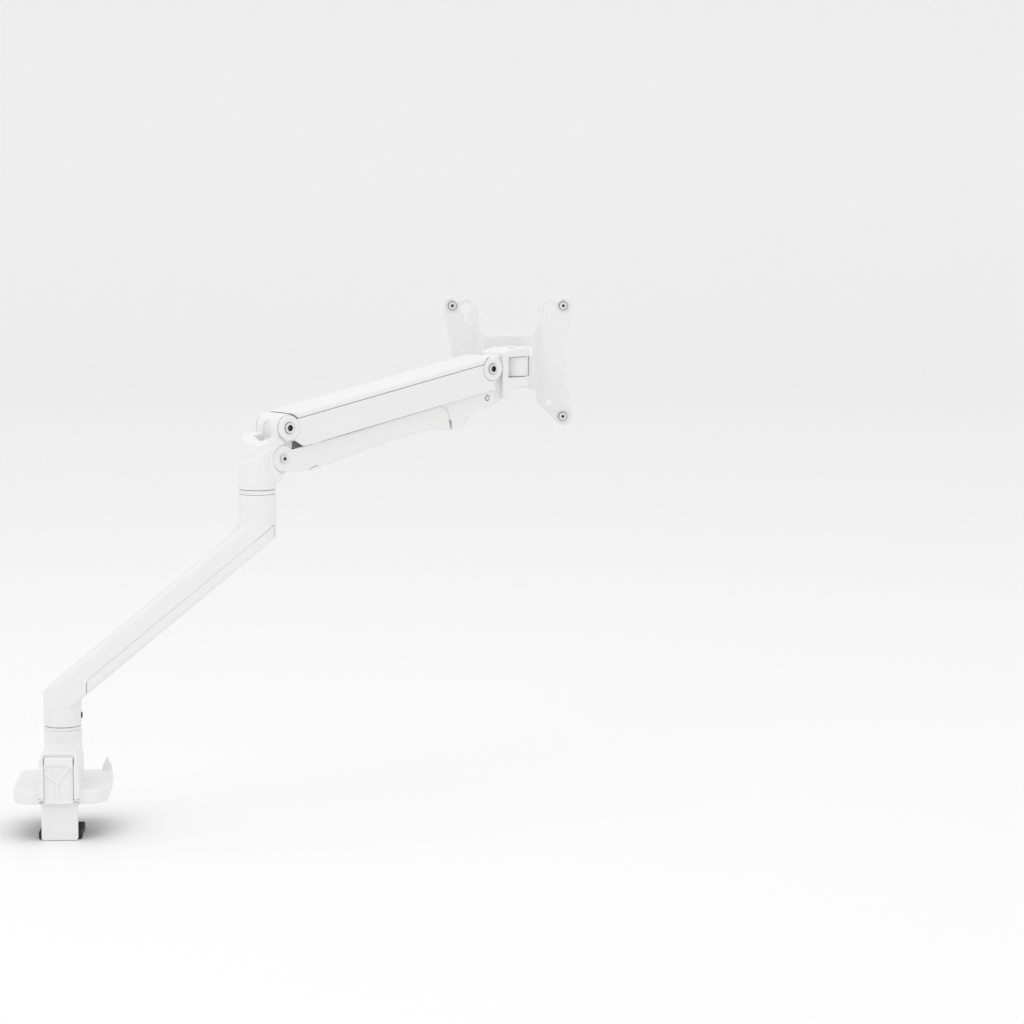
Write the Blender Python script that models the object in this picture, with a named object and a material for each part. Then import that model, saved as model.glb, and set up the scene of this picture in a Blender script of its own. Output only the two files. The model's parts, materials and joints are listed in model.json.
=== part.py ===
"""Desk-clamp monitor arm: a clamp with a post, a swivelling lower arm, a sprung
parallelogram upper arm and a head that pans, tilts and rolls a monitor plate.

Frame: the origin is on the post's axis at the desk top, +X runs along the lower
arm, +Y points over the desk towards the monitor, and +Z is up. Sizes are in metres.
"""

import math

import bmesh
import bpy
from mathutils import Matrix, Vector

MM = 0.001
GAP = 0.3 * MM          # clearance between pieces that touch on the real arm

# Desk and clamp
DESK_EDGE_Y = -42.4 * MM
DESK_THICKNESS = 23 * MM
FOOT_HALF_WIDTH = 39 * MM
FOOT_FRONT_Y = -46 * MM
FOOT_BACK_Y = 44 * MM
FOOT_TOP_Z = 12 * MM
PAD_THICKNESS = 2 * MM
COLUMN_HALF_WIDTH = 17.2 * MM
COLUMN_FRONT_Y = -51 * MM
COLUMN_TOP_Z = 42 * MM
PLATE_THICKNESS = 3.4 * MM
PLATE_HALF_WIDTH = 15 * MM
JAW_BOTTOM_Z = -29.5 * MM
LEVER_HALF_WIDTH = 11.5 * MM
LEVER_PIN_Y = -49.4 * MM
LEVER_PIN_Z = 4.6 * MM

# Post and lower arm
POST_RADIUS = 15.75 * MM
POST_TOP_Z = 55.5 * MM
SPINDLE_RADIUS = 6 * MM
COLLAR_BOTTOM_Z = 58.8 * MM
ELBOW_X = 163 * MM
ELBOW_RADIUS = 15.6 * MM
CHEEK_HALF_WIDTH = 15 * MM
ELBOW_TOP_Z = 252 * MM
KNUCKLE_BOTTOM_Z = 256 * MM
UNDERSIDE_START = (POST_RADIUS, 81.5 * MM)    # X and Z of the arm's lower edge
UNDERSIDE_END = (171 * MM, 210.4 * MM)
ARM_DEPTH = 24.6 * MM    # across the beam, square to its slope
FILLET_RADIUS = 30 * MM
COVER_START_X = 21 * MM
COVER_END_X = 177 * MM

# Parallelogram upper arm
ARM_AZIMUTH = math.radians(37)
LIFT_AT_REST = math.radians(10)
LIFT_LOWEST = math.radians(-30)
LIFT_X = 21 * MM         # lift pivot's reach from the elbow axis
LIFT_Z = 306.6 * MM
LOWER_PIVOT_X = LIFT_X - 3.7 * MM
LOWER_PIVOT_Z = LIFT_Z - 25.5 * MM
LINK_LENGTH = 224 * MM
WALL_OUTER = 17 * MM
WALL_INNER = 14.4 * MM
LOWER_LINK_OUTER = 13.9 * MM
LOWER_LINK_INNER = 11.4 * MM
TONGUE_HALF_WIDTH = 10.9 * MM
AXLE_RADIUS = 4 * MM
LOWER_AXLE_RADIUS = 3 * MM
WRIST_PIN_RADIUS = 2.5 * MM
CAP_RADIUS = 10.2 * MM
DRUM_RADIUS = 11.6 * MM
COVER_BOTTOM_Z = 5.7 * MM
COVER_TOP_Z = 12 * MM
WALL_BOTTOM_Z = -18.5 * MM

# Head
BOLT_RADIUS = 4 * MM     # of the pan pin, the tilt bolt and the roll screw
PAN_REACH = 36 * MM      # pan axis from the wrist pivot
CLEVIS_RADIUS = 15.5 * MM
CLEVIS_HALF_HEIGHT = 17 * MM
SLOT_HALF_HEIGHT = 9 * MM
TILT_REACH = 27 * MM     # tilt axis from the pan axis
TILT_BOSS_RADIUS = 8.4 * MM
EAR_RADIUS = 15.6 * MM
ROLL_FACE_Y = 18.5 * MM  # bracket's back face from the tilt axis
ROLL_HUB_RADIUS = 20 * MM

# Monitor plate, in the head's frame
PLATE_SHEET = 2.5 * MM
LEG_FRONT_Y = 31.6 * MM
BRIDGE_FRONT_Y = 20.6 * MM
BOLT_SQUARE = 100 * MM
SMALL_SQUARE = 75 * MM

ROUND = 36               # sides of a large round
SMALL_ROUND = 16         # sides of a small round
SCREW_ROUND = 12         # sides of a screw

COLOURS = {
    "white_paint": ((0.86, 0.86, 0.86, 1), 0.38, 0.0),
    "white_plastic": ((0.84, 0.84, 0.84, 1), 0.48, 0.0),
    "zinc": ((0.56, 0.56, 0.55, 1), 0.32, 1.0),
    "dark_steel": ((0.10, 0.10, 0.10, 1), 0.40, 1.0),
    "black_rubber": ((0.025, 0.025, 0.025, 1), 0.80, 0.0),
}


# --- scene and object helpers -------------------------------------------------

def clear_scene():
    for item in list(bpy.data.objects):
        bpy.data.objects.remove(item, do_unlink=True)


def make_materials():
    made = {}
    for name, (colour, roughness, metallic) in COLOURS.items():
        material = bpy.data.materials.new(name)
        material.use_nodes = True
        shader = material.node_tree.nodes["Principled BSDF"]
        shader.inputs["Base Color"].default_value = colour
        shader.inputs["Roughness"].default_value = roughness
        shader.inputs["Metallic"].default_value = metallic
        material.diffuse_color = colour
        made[name] = material
    return made


def axis_empty(name, parent=None, place=(0, 0, 0), turn=(0, 0, 0)):
    empty = bpy.data.objects.new(name, None)
    empty.empty_display_size = 0.03
    empty.location = place
    empty.rotation_euler = turn
    empty.parent = parent
    bpy.context.scene.collection.objects.link(empty)
    return empty


def mesh_object(name, mesh_bm, parent, material=None):
    """An object from a bmesh, with its normals out and its round faces smooth."""
    bmesh.ops.recalc_face_normals(mesh_bm, faces=mesh_bm.faces)
    mesh = bpy.data.meshes.new(name)
    mesh_bm.to_mesh(mesh)
    mesh_bm.free()
    mesh.shade_smooth()
    mesh.set_sharp_from_angle(angle=math.radians(30))
    item = bpy.data.objects.new(name, mesh)
    item.parent = parent
    if material:
        mesh.materials.append(MATERIALS[material])
    bpy.context.scene.collection.objects.link(item)
    return item


def combine(item, helper, operation):
    """Cuts, joins or keeps a helper object, which then isn't a piece of its own."""
    helper.hide_render = True
    helper.display_type = "WIRE"
    step = item.modifiers.new(operation.lower(), "BOOLEAN")
    step.operation = operation
    step.solver = "EXACT"
    step.object = helper
    return item


def boolean(item, other_bm, operation):
    """Cuts, joins or keeps a helper shape, given in the item's own frame."""
    helper = mesh_object(f"{item.name}_{operation.lower()}", other_bm, item.parent)
    return combine(item, helper, operation)


def cut(item, other_bm):
    return boolean(item, other_bm, "DIFFERENCE")


def join(item, other_bm):
    return boolean(item, other_bm, "UNION")


def keep(item, other_bm):
    return boolean(item, other_bm, "INTERSECT")


# --- outlines -----------------------------------------------------------------

def rounded(corners, steps=6):
    """A closed outline from corners (x, y) or (x, y, radius of its round)."""
    outline = []
    for index, corner in enumerate(corners):
        point = Vector(corner[:2])
        radius = corner[2] if len(corner) > 2 else 0
        if not radius:
            outline.append(tuple(point))
            continue
        before = (Vector(corners[index - 1][:2]) - point).normalized()
        after = (Vector(corners[(index + 1) % len(corners)][:2]) - point).normalized()
        half = before.angle(after) / 2
        start = point + before * radius / math.tan(half)
        end = point + after * radius / math.tan(half)
        centre = point + (before + after).normalized() * radius / math.sin(half)
        first = math.atan2(*(start - centre).yx)
        sweep = (math.atan2(*(end - centre).yx) - first + math.pi) % math.tau - math.pi
        for step in range(steps + 1):
            angle = first + sweep * step / steps
            outline.append((centre.x + radius * math.cos(angle), centre.y + radius * math.sin(angle)))
    return outline


def arc(x, y, radius, first, last, steps=12):
    """Points along an arc, with its angles in degrees."""
    angles = [math.radians(first + (last - first) * step / steps) for step in range(steps + 1)]
    return [(x + radius * math.cos(angle), y + radius * math.sin(angle)) for angle in angles]


def circle(x, y, radius, sides=SMALL_ROUND):
    return arc(x, y, radius, 0, 360 * (sides - 1) / sides, sides - 1)


# --- solids -------------------------------------------------------------------

def place_on(axis, u, v, w):
    """A point with outline coordinates u and v, at w along the named axis."""
    return {"X": (w, u, v), "Y": (u, w, v), "Z": (u, v, w)}[axis]


def round_edges(solid, edges, radius, steps):
    bmesh.ops.bevel(solid, geom=list(edges), offset=radius, segments=steps, profile=0.5,
                    affect="EDGES")


def prism(outline, low, high, axis="Z", bevel=0, bevel_ends=(True, True), steps=2):
    """An outline extruded along an axis, with its end edges rounded if asked."""
    solid = bmesh.new()
    rings = []
    for level in (low, high):
        rings.append([solid.verts.new(place_on(axis, u, v, level)) for u, v in outline])
    ends = [solid.faces.new(rings[0]), solid.faces.new(rings[1][::-1])]
    count = len(outline)
    for index in range(count):
        following = (index + 1) % count
        solid.faces.new((rings[0][following], rings[0][index], rings[1][index], rings[1][following]))
    if bevel:
        edges = {edge for end, wanted in zip(ends, bevel_ends) if wanted for edge in end.edges}
        round_edges(solid, edges, bevel, steps)
    bmesh.ops.recalc_face_normals(solid, faces=solid.faces)
    return solid


def box(low, high, bevel=0, steps=2):
    solid = bmesh.new()
    bmesh.ops.create_cube(solid, size=1)
    for vertex in solid.verts:
        vertex.co = [l + (h - l) * (c + 0.5) for l, h, c in zip(low, high, vertex.co)]
    if bevel:
        round_edges(solid, solid.edges, bevel, steps)
    return solid


def turned(profile, place=(0, 0, 0), axis="Z", sides=ROUND):
    """A solid of revolution from a closed profile of (radius, height) points."""
    solid = bmesh.new()
    rings = []
    for radius, height in profile:
        if radius < 1e-9:
            rings.append([solid.verts.new((0, 0, height))])
            continue
        rings.append([solid.verts.new((x, y, height)) for x, y in circle(0, 0, radius, sides)])
    for index, ring in enumerate(rings):
        following = rings[(index + 1) % len(rings)]
        for step in range(sides):
            corners = [ring[step % len(ring)], ring[(step + 1) % len(ring)],
                       following[(step + 1) % len(following)], following[step % len(following)]]
            corners = list(dict.fromkeys(corners))
            if len(corners) > 2:
                solid.faces.new(corners)
    toward = {"X": Matrix.Rotation(math.pi / 2, 4, "Y"), "Z": Matrix(),
              "Y": Matrix.Rotation(-math.pi / 2, 4, "X")}[axis]
    bmesh.ops.transform(solid, matrix=Matrix.Translation(place) @ toward, verts=solid.verts)
    bmesh.ops.recalc_face_normals(solid, faces=solid.faces)
    return solid


def rod(radius, low, high, place=(0, 0, 0), axis="Z", sides=SMALL_ROUND, chamfer=0):
    """A solid cylinder from low to high along its axis, counted from its place."""
    profile = [(0, low), (radius - chamfer, low), (radius, low + chamfer),
               (radius, high - chamfer), (radius - chamfer, high), (0, high)]
    if not chamfer:
        profile = [(0, low), (radius, low), (radius, high), (0, high)]
    return turned(profile, place, axis, sides)


def tube(inner, outer, low, high, place=(0, 0, 0), axis="Z", sides=SMALL_ROUND):
    profile = [(inner, low), (outer, low), (outer, high), (inner, high)]
    return turned(profile, place, axis, sides)


def hexagon(across_flats):
    radius = across_flats / math.sqrt(3)
    return circle(0, 0, radius, 6)


def socket_screw(name, parent, place, outward, head_radius, head_height, shank_radius, shank_length,
                 key=4 * MM, material="zinc"):
    """A screw whose head stands on its place, along the local Y axis in the outward sense."""
    dome = 0.25 * head_height
    profile = [(0, -shank_length), (shank_radius, -shank_length), (shank_radius, 0), (head_radius, 0),
               (head_radius, head_height - dome), (head_radius - 2 * dome, head_height),
               (0, head_height)]
    solid = turned(profile, (0, 0, 0), "Y", SCREW_ROUND)
    recess = prism(hexagon(key), 0.35 * head_height, head_height + 1 * MM, "Y")
    turn = Matrix.Translation(place)
    if outward < 0:
        turn = turn @ Matrix.Rotation(math.pi, 4, "Z")
    for shape in (solid, recess):
        bmesh.ops.transform(shape, matrix=turn, verts=shape.verts)
    return cut(mesh_object(name, solid, parent, material), recess)


# --- clamp --------------------------------------------------------------------

def rounded_plan(half_width, front, back, front_round, back_round, steps=6):
    """A rectangle in plan with one radius at its front corners and another at its back ones."""
    return rounded([(-half_width, front, front_round), (half_width, front, front_round),
                    (half_width, back, back_round), (-half_width, back, back_round)], steps)


def clamp_body():
    outline = rounded_plan(FOOT_HALF_WIDTH, FOOT_FRONT_Y, FOOT_BACK_Y, 19 * MM, 9 * MM, 8)
    foot = prism(outline, PAD_THICKNESS + GAP, FOOT_TOP_Z, "Z", 1.6 * MM, (False, True))
    body = mesh_object("clamp_body", foot, None, "white_paint")

    column = rounded_plan(COLUMN_HALF_WIDTH, COLUMN_FRONT_Y, 17 * MM, 3.6 * MM, 12 * MM, 4)
    join(body, prism(column, PAD_THICKNESS + 0.6 * MM, COLUMN_TOP_Z, "Z", 3 * MM, (False, True), 3))
    join(body, rod(POST_RADIUS, 20 * MM, POST_TOP_Z, sides=ROUND))

    fin = [(30 * MM, 10 * MM), (38 * MM, 10 * MM), (38 * MM, 16 * MM), (34 * MM, 25 * MM),
           (30 * MM, 16 * MM)]
    join(body, prism(fin, 35 * MM, 38 * MM, "Y", 0.6 * MM, steps=1))

    slot = PLATE_HALF_WIDTH + 0.4 * MM
    slot_back = DESK_EDGE_Y + 0.2 * MM
    cut(body, box((-slot, COLUMN_FRONT_Y + 4.4 * MM, -5 * MM), (slot, slot_back, 38.5 * MM)))
    pocket = LEVER_HALF_WIDTH + 0.4 * MM
    pocket_back = COLUMN_FRONT_Y + 4.6 * MM
    cut(body, box((-pocket, -60 * MM, 1 * MM), (pocket, pocket_back, 45 * MM)))
    cut(body, rod(1.5 * MM, -18 * MM, 18 * MM, (0, LEVER_PIN_Y, LEVER_PIN_Z), "X"))
    cut(body, rod(SPINDLE_RADIUS + GAP, 29.7 * MM, 60 * MM))
    return body


def foot_pad():
    inset = 1 * MM
    outline = rounded_plan(FOOT_HALF_WIDTH - inset, DESK_EDGE_Y + 0.6 * MM, FOOT_BACK_Y - inset,
                           14 * MM, 8 * MM)
    return mesh_object("foot_pad", prism(outline, 0, PAD_THICKNESS), None, "black_rubber")


def post_spindle():
    spindle = rod(SPINDLE_RADIUS, 30 * MM, 80 * MM, chamfer=1 * MM)
    return mesh_object("post_spindle", spindle, None, "zinc")


def base_ring():
    ring = tube(SPINDLE_RADIUS + GAP, 15.3 * MM, POST_TOP_Z + GAP, COLLAR_BOTTOM_Z - GAP,
                sides=ROUND)
    return mesh_object("base_ring", ring, None, "white_plastic")


def jaw_bracket(parent):
    front = COLUMN_FRONT_Y + 4.8 * MM
    back = front + PLATE_THICKNESS
    plate = rounded_plan(PLATE_HALF_WIDTH, JAW_BOTTOM_Z, 24 * MM, 2 * MM, 1 * MM, 3)
    bracket = mesh_object("jaw_bracket", prism(plate, front, back, "Y"), parent, "white_paint")
    tongue = box((-12 * MM, back - 1 * MM, -28 * MM), (12 * MM, -8.3 * MM, -25 * MM))
    return join(bracket, tongue)


def jaw_block(parent):
    top = -DESK_THICKNESS
    block = box((-17.7 * MM, DESK_EDGE_Y + GAP, JAW_BOTTOM_Z), (17.7 * MM, -2 * MM, top), 0.8 * MM, 1)
    block = mesh_object("jaw_block", block, parent, "black_rubber")
    return cut(block, box((-12.3 * MM, -50 * MM, -28.3 * MM), (12.3 * MM, -8 * MM, -24.7 * MM)))


def clamp_lever(parent):
    """Drawn about its pin: a flat handle with a lip at its top and a scoop below it."""
    front = COLUMN_FRONT_Y - 1 * MM - LEVER_PIN_Y
    back = COLUMN_FRONT_Y + 4.1 * MM - LEVER_PIN_Y
    scoop = front + 1.2 * MM
    top = COLUMN_TOP_Z - 1.6 * MM - LEVER_PIN_Z
    side = rounded([(front, -2.5 * MM, 2.4 * MM), (back, -2.5 * MM, 2.4 * MM), (back, top, 0.6 * MM),
                    (front, top, 1.2 * MM), (front, top - 8 * MM, 0.5 * MM),
                    (scoop, top - 10 * MM, 1 * MM), (scoop, 2 * MM, 1 * MM), (front, 0)], 4)
    lever = prism(side, -LEVER_HALF_WIDTH, LEVER_HALF_WIDTH, "X")
    lever = mesh_object("clamp_lever", lever, parent, "white_paint")
    return cut(lever, rod(1.5 * MM, -20 * MM, 20 * MM, axis="X"))


def lever_pin():
    pin = rod(1.2 * MM, -16.6 * MM, 16.6 * MM, (0, LEVER_PIN_Y, LEVER_PIN_Z), "X", 16)
    return mesh_object("lever_pin", pin, None, "dark_steel")


# --- lower arm ----------------------------------------------------------------

def arm_slope():
    return math.atan2(UNDERSIDE_END[1] - UNDERSIDE_START[1], UNDERSIDE_END[0] - UNDERSIDE_START[0])


def on_slope():
    """Turns a shape drawn along X from the underside's start onto the arm's slope."""
    return (Matrix.Translation((UNDERSIDE_START[0], 0, UNDERSIDE_START[1]))
            @ Matrix.Rotation(-arm_slope(), 4, "Y"))


def arm_plan(margin=0.0):
    """The lower arm's plan view: the outline round its two collars."""
    near, far = POST_RADIUS + margin, ELBOW_RADIUS + margin
    lean = math.degrees(math.asin((far - near) / ELBOW_X))
    left = arc(0, 0, near, 90 + lean, 270 - lean, ROUND // 2)
    right = arc(ELBOW_X, 0, far, -90 - lean, 90 + lean, ROUND // 2)
    return left + right


def arm_beam():
    """The sloping beam, with rounded long edges; it widens a little towards the elbow."""
    inset = 0.15 * MM
    near, far = POST_RADIUS - inset, ELBOW_RADIUS - inset
    section = rounded([(-near, 0, 3.4 * MM), (near, 0, 3.4 * MM), (near, ARM_DEPTH, 3.4 * MM),
                       (-near, ARM_DEPTH, 3.4 * MM)], 4)
    beam = prism(section, -60 * MM, 260 * MM, "X")
    bmesh.ops.transform(beam, matrix=on_slope(), verts=beam.verts)
    for vertex in beam.verts:
        vertex.co.y *= 1 + (far / near - 1) * vertex.co.x / ELBOW_X
    return beam


def elbow_fillet():
    """The concave sweep from the beam's top up into the elbow's socket."""
    slope = arm_slope()
    left = ELBOW_X - ELBOW_RADIUS
    underside_at_left = UNDERSIDE_START[1] + (left - UNDERSIDE_START[0]) * math.tan(slope)
    top_at_left = underside_at_left + ARM_DEPTH / math.cos(slope)
    reach = FILLET_RADIUS * math.tan((math.pi / 2 - slope) / 2)
    start = (left - reach * math.cos(slope), top_at_left - reach * math.sin(slope))
    sweep = arc(left - FILLET_RADIUS, top_at_left + reach, FILLET_RADIUS,
                math.degrees(slope) - 90, 0, 8)
    outline = [(ELBOW_X, top_at_left - 20 * MM), (start[0], start[1] - 6 * MM)] + sweep
    outline.append((ELBOW_X, top_at_left + reach))
    half_width = ELBOW_RADIUS - 3 * MM
    return prism(outline, -half_width, half_width, "Y")


def cover_strip(margin):
    """The side view of the space that the cable cover fills, from below the arm's underside."""
    start, end = COVER_START_X + margin, COVER_END_X - margin
    outline = rounded([(start, 60 * MM), (end, 190 * MM), (end, 227 * MM - 1.3 * margin),
                       (start, 98 * MM - margin, 7 * MM)], 4)
    return prism(outline, -30 * MM, 30 * MM, "Y")


def lower_arm(parent):
    arm = mesh_object("lower_arm", arm_beam(), parent, "white_paint")
    keep(arm, prism(arm_plan(), COLLAR_BOTTOM_Z + 2 * MM, ELBOW_TOP_Z - 2 * MM))
    join(arm, elbow_fillet())
    join(arm, turned([(0, COLLAR_BOTTOM_Z), (POST_RADIUS - 0.5 * MM, COLLAR_BOTTOM_Z),
                      (POST_RADIUS, COLLAR_BOTTOM_Z + 0.5 * MM), (POST_RADIUS, 82 * MM), (0, 82 * MM)]))
    join(arm, turned([(0, 214 * MM), (ELBOW_RADIUS, 214 * MM), (ELBOW_RADIUS, ELBOW_TOP_Z - 0.5 * MM),
                      (ELBOW_RADIUS - 0.5 * MM, ELBOW_TOP_Z), (0, ELBOW_TOP_Z)], (ELBOW_X, 0, 0)))
    cut(arm, cover_strip(0))
    cut(arm, rod(2.8 * MM, 5 * MM, 26 * MM, (0, 0, 67 * MM), "X", 10))
    cut(arm, rod(8.3 * MM, 50 * MM, 80.3 * MM))
    cut(arm, rod(8.3 * MM, 222 * MM, 260 * MM, (ELBOW_X, 0, 0)))
    return arm


def lower_cable_cover(parent):
    """A trough that clips under the arm, open along its top and at both ends."""
    cover = mesh_object("lower_cable_cover", arm_beam(), parent, "white_plastic")
    keep(cover, prism(arm_plan(), COLLAR_BOTTOM_Z + 2 * MM, ELBOW_TOP_Z - 2 * MM))
    keep(cover, cover_strip(GAP))
    channel = [(-13 * MM, 2.2 * MM), (13 * MM, 2.2 * MM), (13 * MM, 20 * MM), (-13 * MM, 20 * MM)]
    hollow = prism(channel, 12 * MM, 199 * MM, "X")
    bmesh.ops.transform(hollow, matrix=on_slope(), verts=hollow.verts)
    return cut(cover, hollow)


def bush(name, parent, place, low, high):
    solid = tube(SPINDLE_RADIUS + GAP, 8 * MM, low, high, place)
    return mesh_object(name, solid, parent, "white_plastic")


def collar_set_screw(parent):
    screw = rod(2.5 * MM, 8.4 * MM, 16.4 * MM, (0, 0, 67 * MM), "X", 16)
    screw = mesh_object("collar_set_screw", screw, parent, "dark_steel")
    key = prism(hexagon(2.5 * MM), 14 * MM, 18 * MM, "X")
    bmesh.ops.transform(key, matrix=Matrix.Translation((0, 0, 67 * MM)), verts=key.verts)
    return cut(screw, key)


# --- elbow knuckle, in the elbow axis's frame -----------------------------------

def link_sweep():
    """The side view of the space that the two links' ends sweep beside the knuckle's tongue."""
    corner = Matrix.Rotation(LIFT_LOWEST, 2) @ Vector((15.6 * MM, -15.6 * MM))
    inset = 2.2 * MM
    return [(LOWER_PIVOT_X - inset, LOWER_PIVOT_Z),
            (LOWER_PIVOT_X - 8.2 * MM, LOWER_PIVOT_Z - 8.2 * MM),
            (LOWER_PIVOT_X + corner.x, LOWER_PIVOT_Z + corner.y), (50 * MM, 240 * MM),
            (50 * MM, 330 * MM), (LIFT_X - inset, 330 * MM), (LIFT_X - inset, LIFT_Z)]


def above_slope(height, normal):
    """A large block above a sloping plane that crosses the axis at this height."""
    block = bmesh.new()
    bmesh.ops.create_cube(block, size=0.1)
    tilt = Vector((0, 0, 1)).rotation_difference(Vector(normal)).to_matrix().to_4x4()
    place = Matrix.Translation((0, 0, height)) @ tilt @ Matrix.Translation((0, 0, 0.05))
    bmesh.ops.transform(block, matrix=place, verts=block.verts)
    return block


def knuckle(parent):
    sleeve = turned([(0, KNUCKLE_BOTTOM_Z), (ELBOW_RADIUS - 0.5 * MM, KNUCKLE_BOTTOM_Z),
                     (ELBOW_RADIUS, KNUCKLE_BOTTOM_Z + 0.5 * MM), (14.2 * MM, 290 * MM),
                     (14.2 * MM, 320 * MM), (0, 320 * MM)])
    body = mesh_object("knuckle", sleeve, parent, "white_paint")
    cut(body, above_slope(289 * MM, (-0.66, 0, 1)))
    core = turned([(0, 262 * MM), (13.4 * MM, 262 * MM), (13.4 * MM, 281 * MM),
                   (11.8 * MM, 310 * MM), (0, 310 * MM)])
    core = mesh_object("knuckle_core", core, parent)
    cut(core, above_slope(298.3 * MM, (-0.14, -0.345, 1)))
    combine(body, core, "UNION")

    cheek = [(4 * MM, 262 * MM), (13.5 * MM, 262 * MM), (16.5 * MM, 268 * MM), (24 * MM, 290 * MM),
             (24 * MM, 300 * MM), (4 * MM, 298 * MM)]
    join(body, prism(cheek, -CHEEK_HALF_WIDTH, CHEEK_HALF_WIDTH, "Y"))
    sides = ((-20 * MM, -TONGUE_HALF_WIDTH), (TONGUE_HALF_WIDTH, 20 * MM))
    for x, z, radius in ((LIFT_X, LIFT_Z, 11.3 * MM), (LOWER_PIVOT_X, LOWER_PIVOT_Z, 11.5 * MM)):
        for low, high in sides:
            cut(body, prism(circle(x, z, radius, 30), low, high, "Y"))
    for low, high in sides:
        cut(body, prism(link_sweep(), low, high, "Y"))

    tongue = rounded([(6 * MM, 264 * MM), (LOWER_PIVOT_X + 4 * MM, 268 * MM, 4 * MM),
                      (LOWER_PIVOT_X + 10 * MM, 276 * MM, 6 * MM), (LIFT_X + 8 * MM, 300 * MM, 6 * MM),
                      (LIFT_X, LIFT_Z), (8 * MM, 296 * MM)], 4)
    join(body, prism(tongue, -TONGUE_HALF_WIDTH, TONGUE_HALF_WIDTH, "Y"))
    drum = arc(LIFT_X, LIFT_Z, DRUM_RADIUS, -90, 90, 18)
    drum += arc(LIFT_X, LIFT_Z, DRUM_RADIUS, 90, 180, 9)[1:]
    drum += [(LIFT_X - DRUM_RADIUS, 296 * MM), (LIFT_X - 4 * MM, 294.8 * MM)]
    join(body, prism(drum, -14 * MM, 14 * MM, "Y", 0.8 * MM, steps=1))

    window = [(-5 * MM, 292 * MM), (5 * MM, 292 * MM), (5 * MM, 309 * MM), (0, 315 * MM),
              (-5 * MM, 309 * MM)]
    cut(body, prism(window, 0, LIFT_X - 9.2 * MM, "X"))
    cut(body, rod(AXLE_RADIUS + GAP, -20 * MM, 20 * MM, (LIFT_X, 0, LIFT_Z), "Y"))
    lower_pivot = (LOWER_PIVOT_X, 0, LOWER_PIVOT_Z)
    cut(body, rod(LOWER_AXLE_RADIUS + GAP, -20 * MM, 20 * MM, lower_pivot, "Y"))
    cut(body, rod(SPINDLE_RADIUS + GAP, 250 * MM, 283 * MM))
    return body


def elbow_pieces(parent):
    spindle = rod(SPINDLE_RADIUS, 224 * MM, 282.7 * MM, chamfer=1 * MM)
    mesh_object("elbow_spindle", spindle, parent, "zinc")
    ring = tube(SPINDLE_RADIUS + GAP, ELBOW_RADIUS - 0.4 * MM, ELBOW_TOP_Z + GAP,
                KNUCKLE_BOTTOM_Z - GAP, sides=ROUND)
    mesh_object("elbow_ring", ring, parent, "white_plastic")


# --- parallelogram upper arm ----------------------------------------------------

def upper_link(parent):
    """A channel open below: two walls and a web, with round bosses at its pivots."""
    end = LINK_LENGTH
    outline = arc(0, 0, CAP_RADIUS, 60, 262, 20)
    outline += [(4 * MM, -11.5 * MM, 1 * MM), (12 * MM, WALL_BOTTOM_Z, 3 * MM)]
    outline += [(end + 1 * MM, WALL_BOTTOM_Z, 1 * MM), (end, -14 * MM, 2 * MM)]
    outline += arc(end, 0, CAP_RADIUS, -70, 90, 16)
    outline += [(end - 3 * MM, COVER_BOTTOM_Z - GAP), (9 * MM, COVER_BOTTOM_Z - GAP)]
    outline = rounded(outline, 3)
    near_wall = prism(outline, -WALL_OUTER, -WALL_INNER, "Y")
    link = mesh_object("upper_link", near_wall, parent, "white_paint")
    web = WALL_INNER + 1 * MM
    join(link, box((13 * MM, -web, 3 * MM), (end - 13 * MM, web, COVER_BOTTOM_Z - GAP)))
    join(link, prism(outline, WALL_INNER, WALL_OUTER, "Y"))
    for x in (0, end):
        cut(link, rod(AXLE_RADIUS + GAP, -30 * MM, 30 * MM, (x, 0, 0), "Y"))
        for low, high in ((-30 * MM, -WALL_OUTER + 1.2 * MM), (WALL_OUTER - 1.2 * MM, 30 * MM)):
            cut(link, prism(circle(x, 0, CAP_RADIUS + 0.4 * MM, 32), low, high, "Y"))
    return link


def upper_top_cover(parent):
    """A shallow lid with rounded shoulders that clips onto the upper link."""
    w = WALL_OUTER
    section = rounded([(-w, COVER_BOTTOM_Z), (w, COVER_BOTTOM_Z), (w, COVER_TOP_Z, 4.5 * MM),
                       (-w, COVER_TOP_Z, 4.5 * MM)], 4)
    cover = prism(section, 0.5 * MM, LINK_LENGTH - 0.5 * MM, "X")
    cover = mesh_object("upper_top_cover", cover, parent, "white_plastic")
    inner_w = w - 2.4 * MM
    inner_top = COVER_TOP_Z - 2.2 * MM
    inner = rounded([(-inner_w, 0), (inner_w, 0), (inner_w, inner_top, 2.5 * MM),
                     (-inner_w, inner_top, 2.5 * MM)], 3)
    cut(cover, prism(inner, 18 * MM, LINK_LENGTH - 18 * MM, "X"))
    cut(cover, rod(DRUM_RADIUS + 0.5 * MM, -30 * MM, 30 * MM, axis="Y", sides=32))
    tongue = TONGUE_HALF_WIDTH + 0.6 * MM
    cut(cover, rod(DRUM_RADIUS, -tongue, tongue, (LINK_LENGTH, 0, 0), "Y", 32))
    for low, high in ((-30 * MM, -WALL_INNER + GAP), (WALL_INNER - GAP, 30 * MM)):
        cut(cover, rod(CAP_RADIUS + 0.4 * MM, low, high, (LINK_LENGTH, 0, 0), "Y", 32))
    return cover


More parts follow.
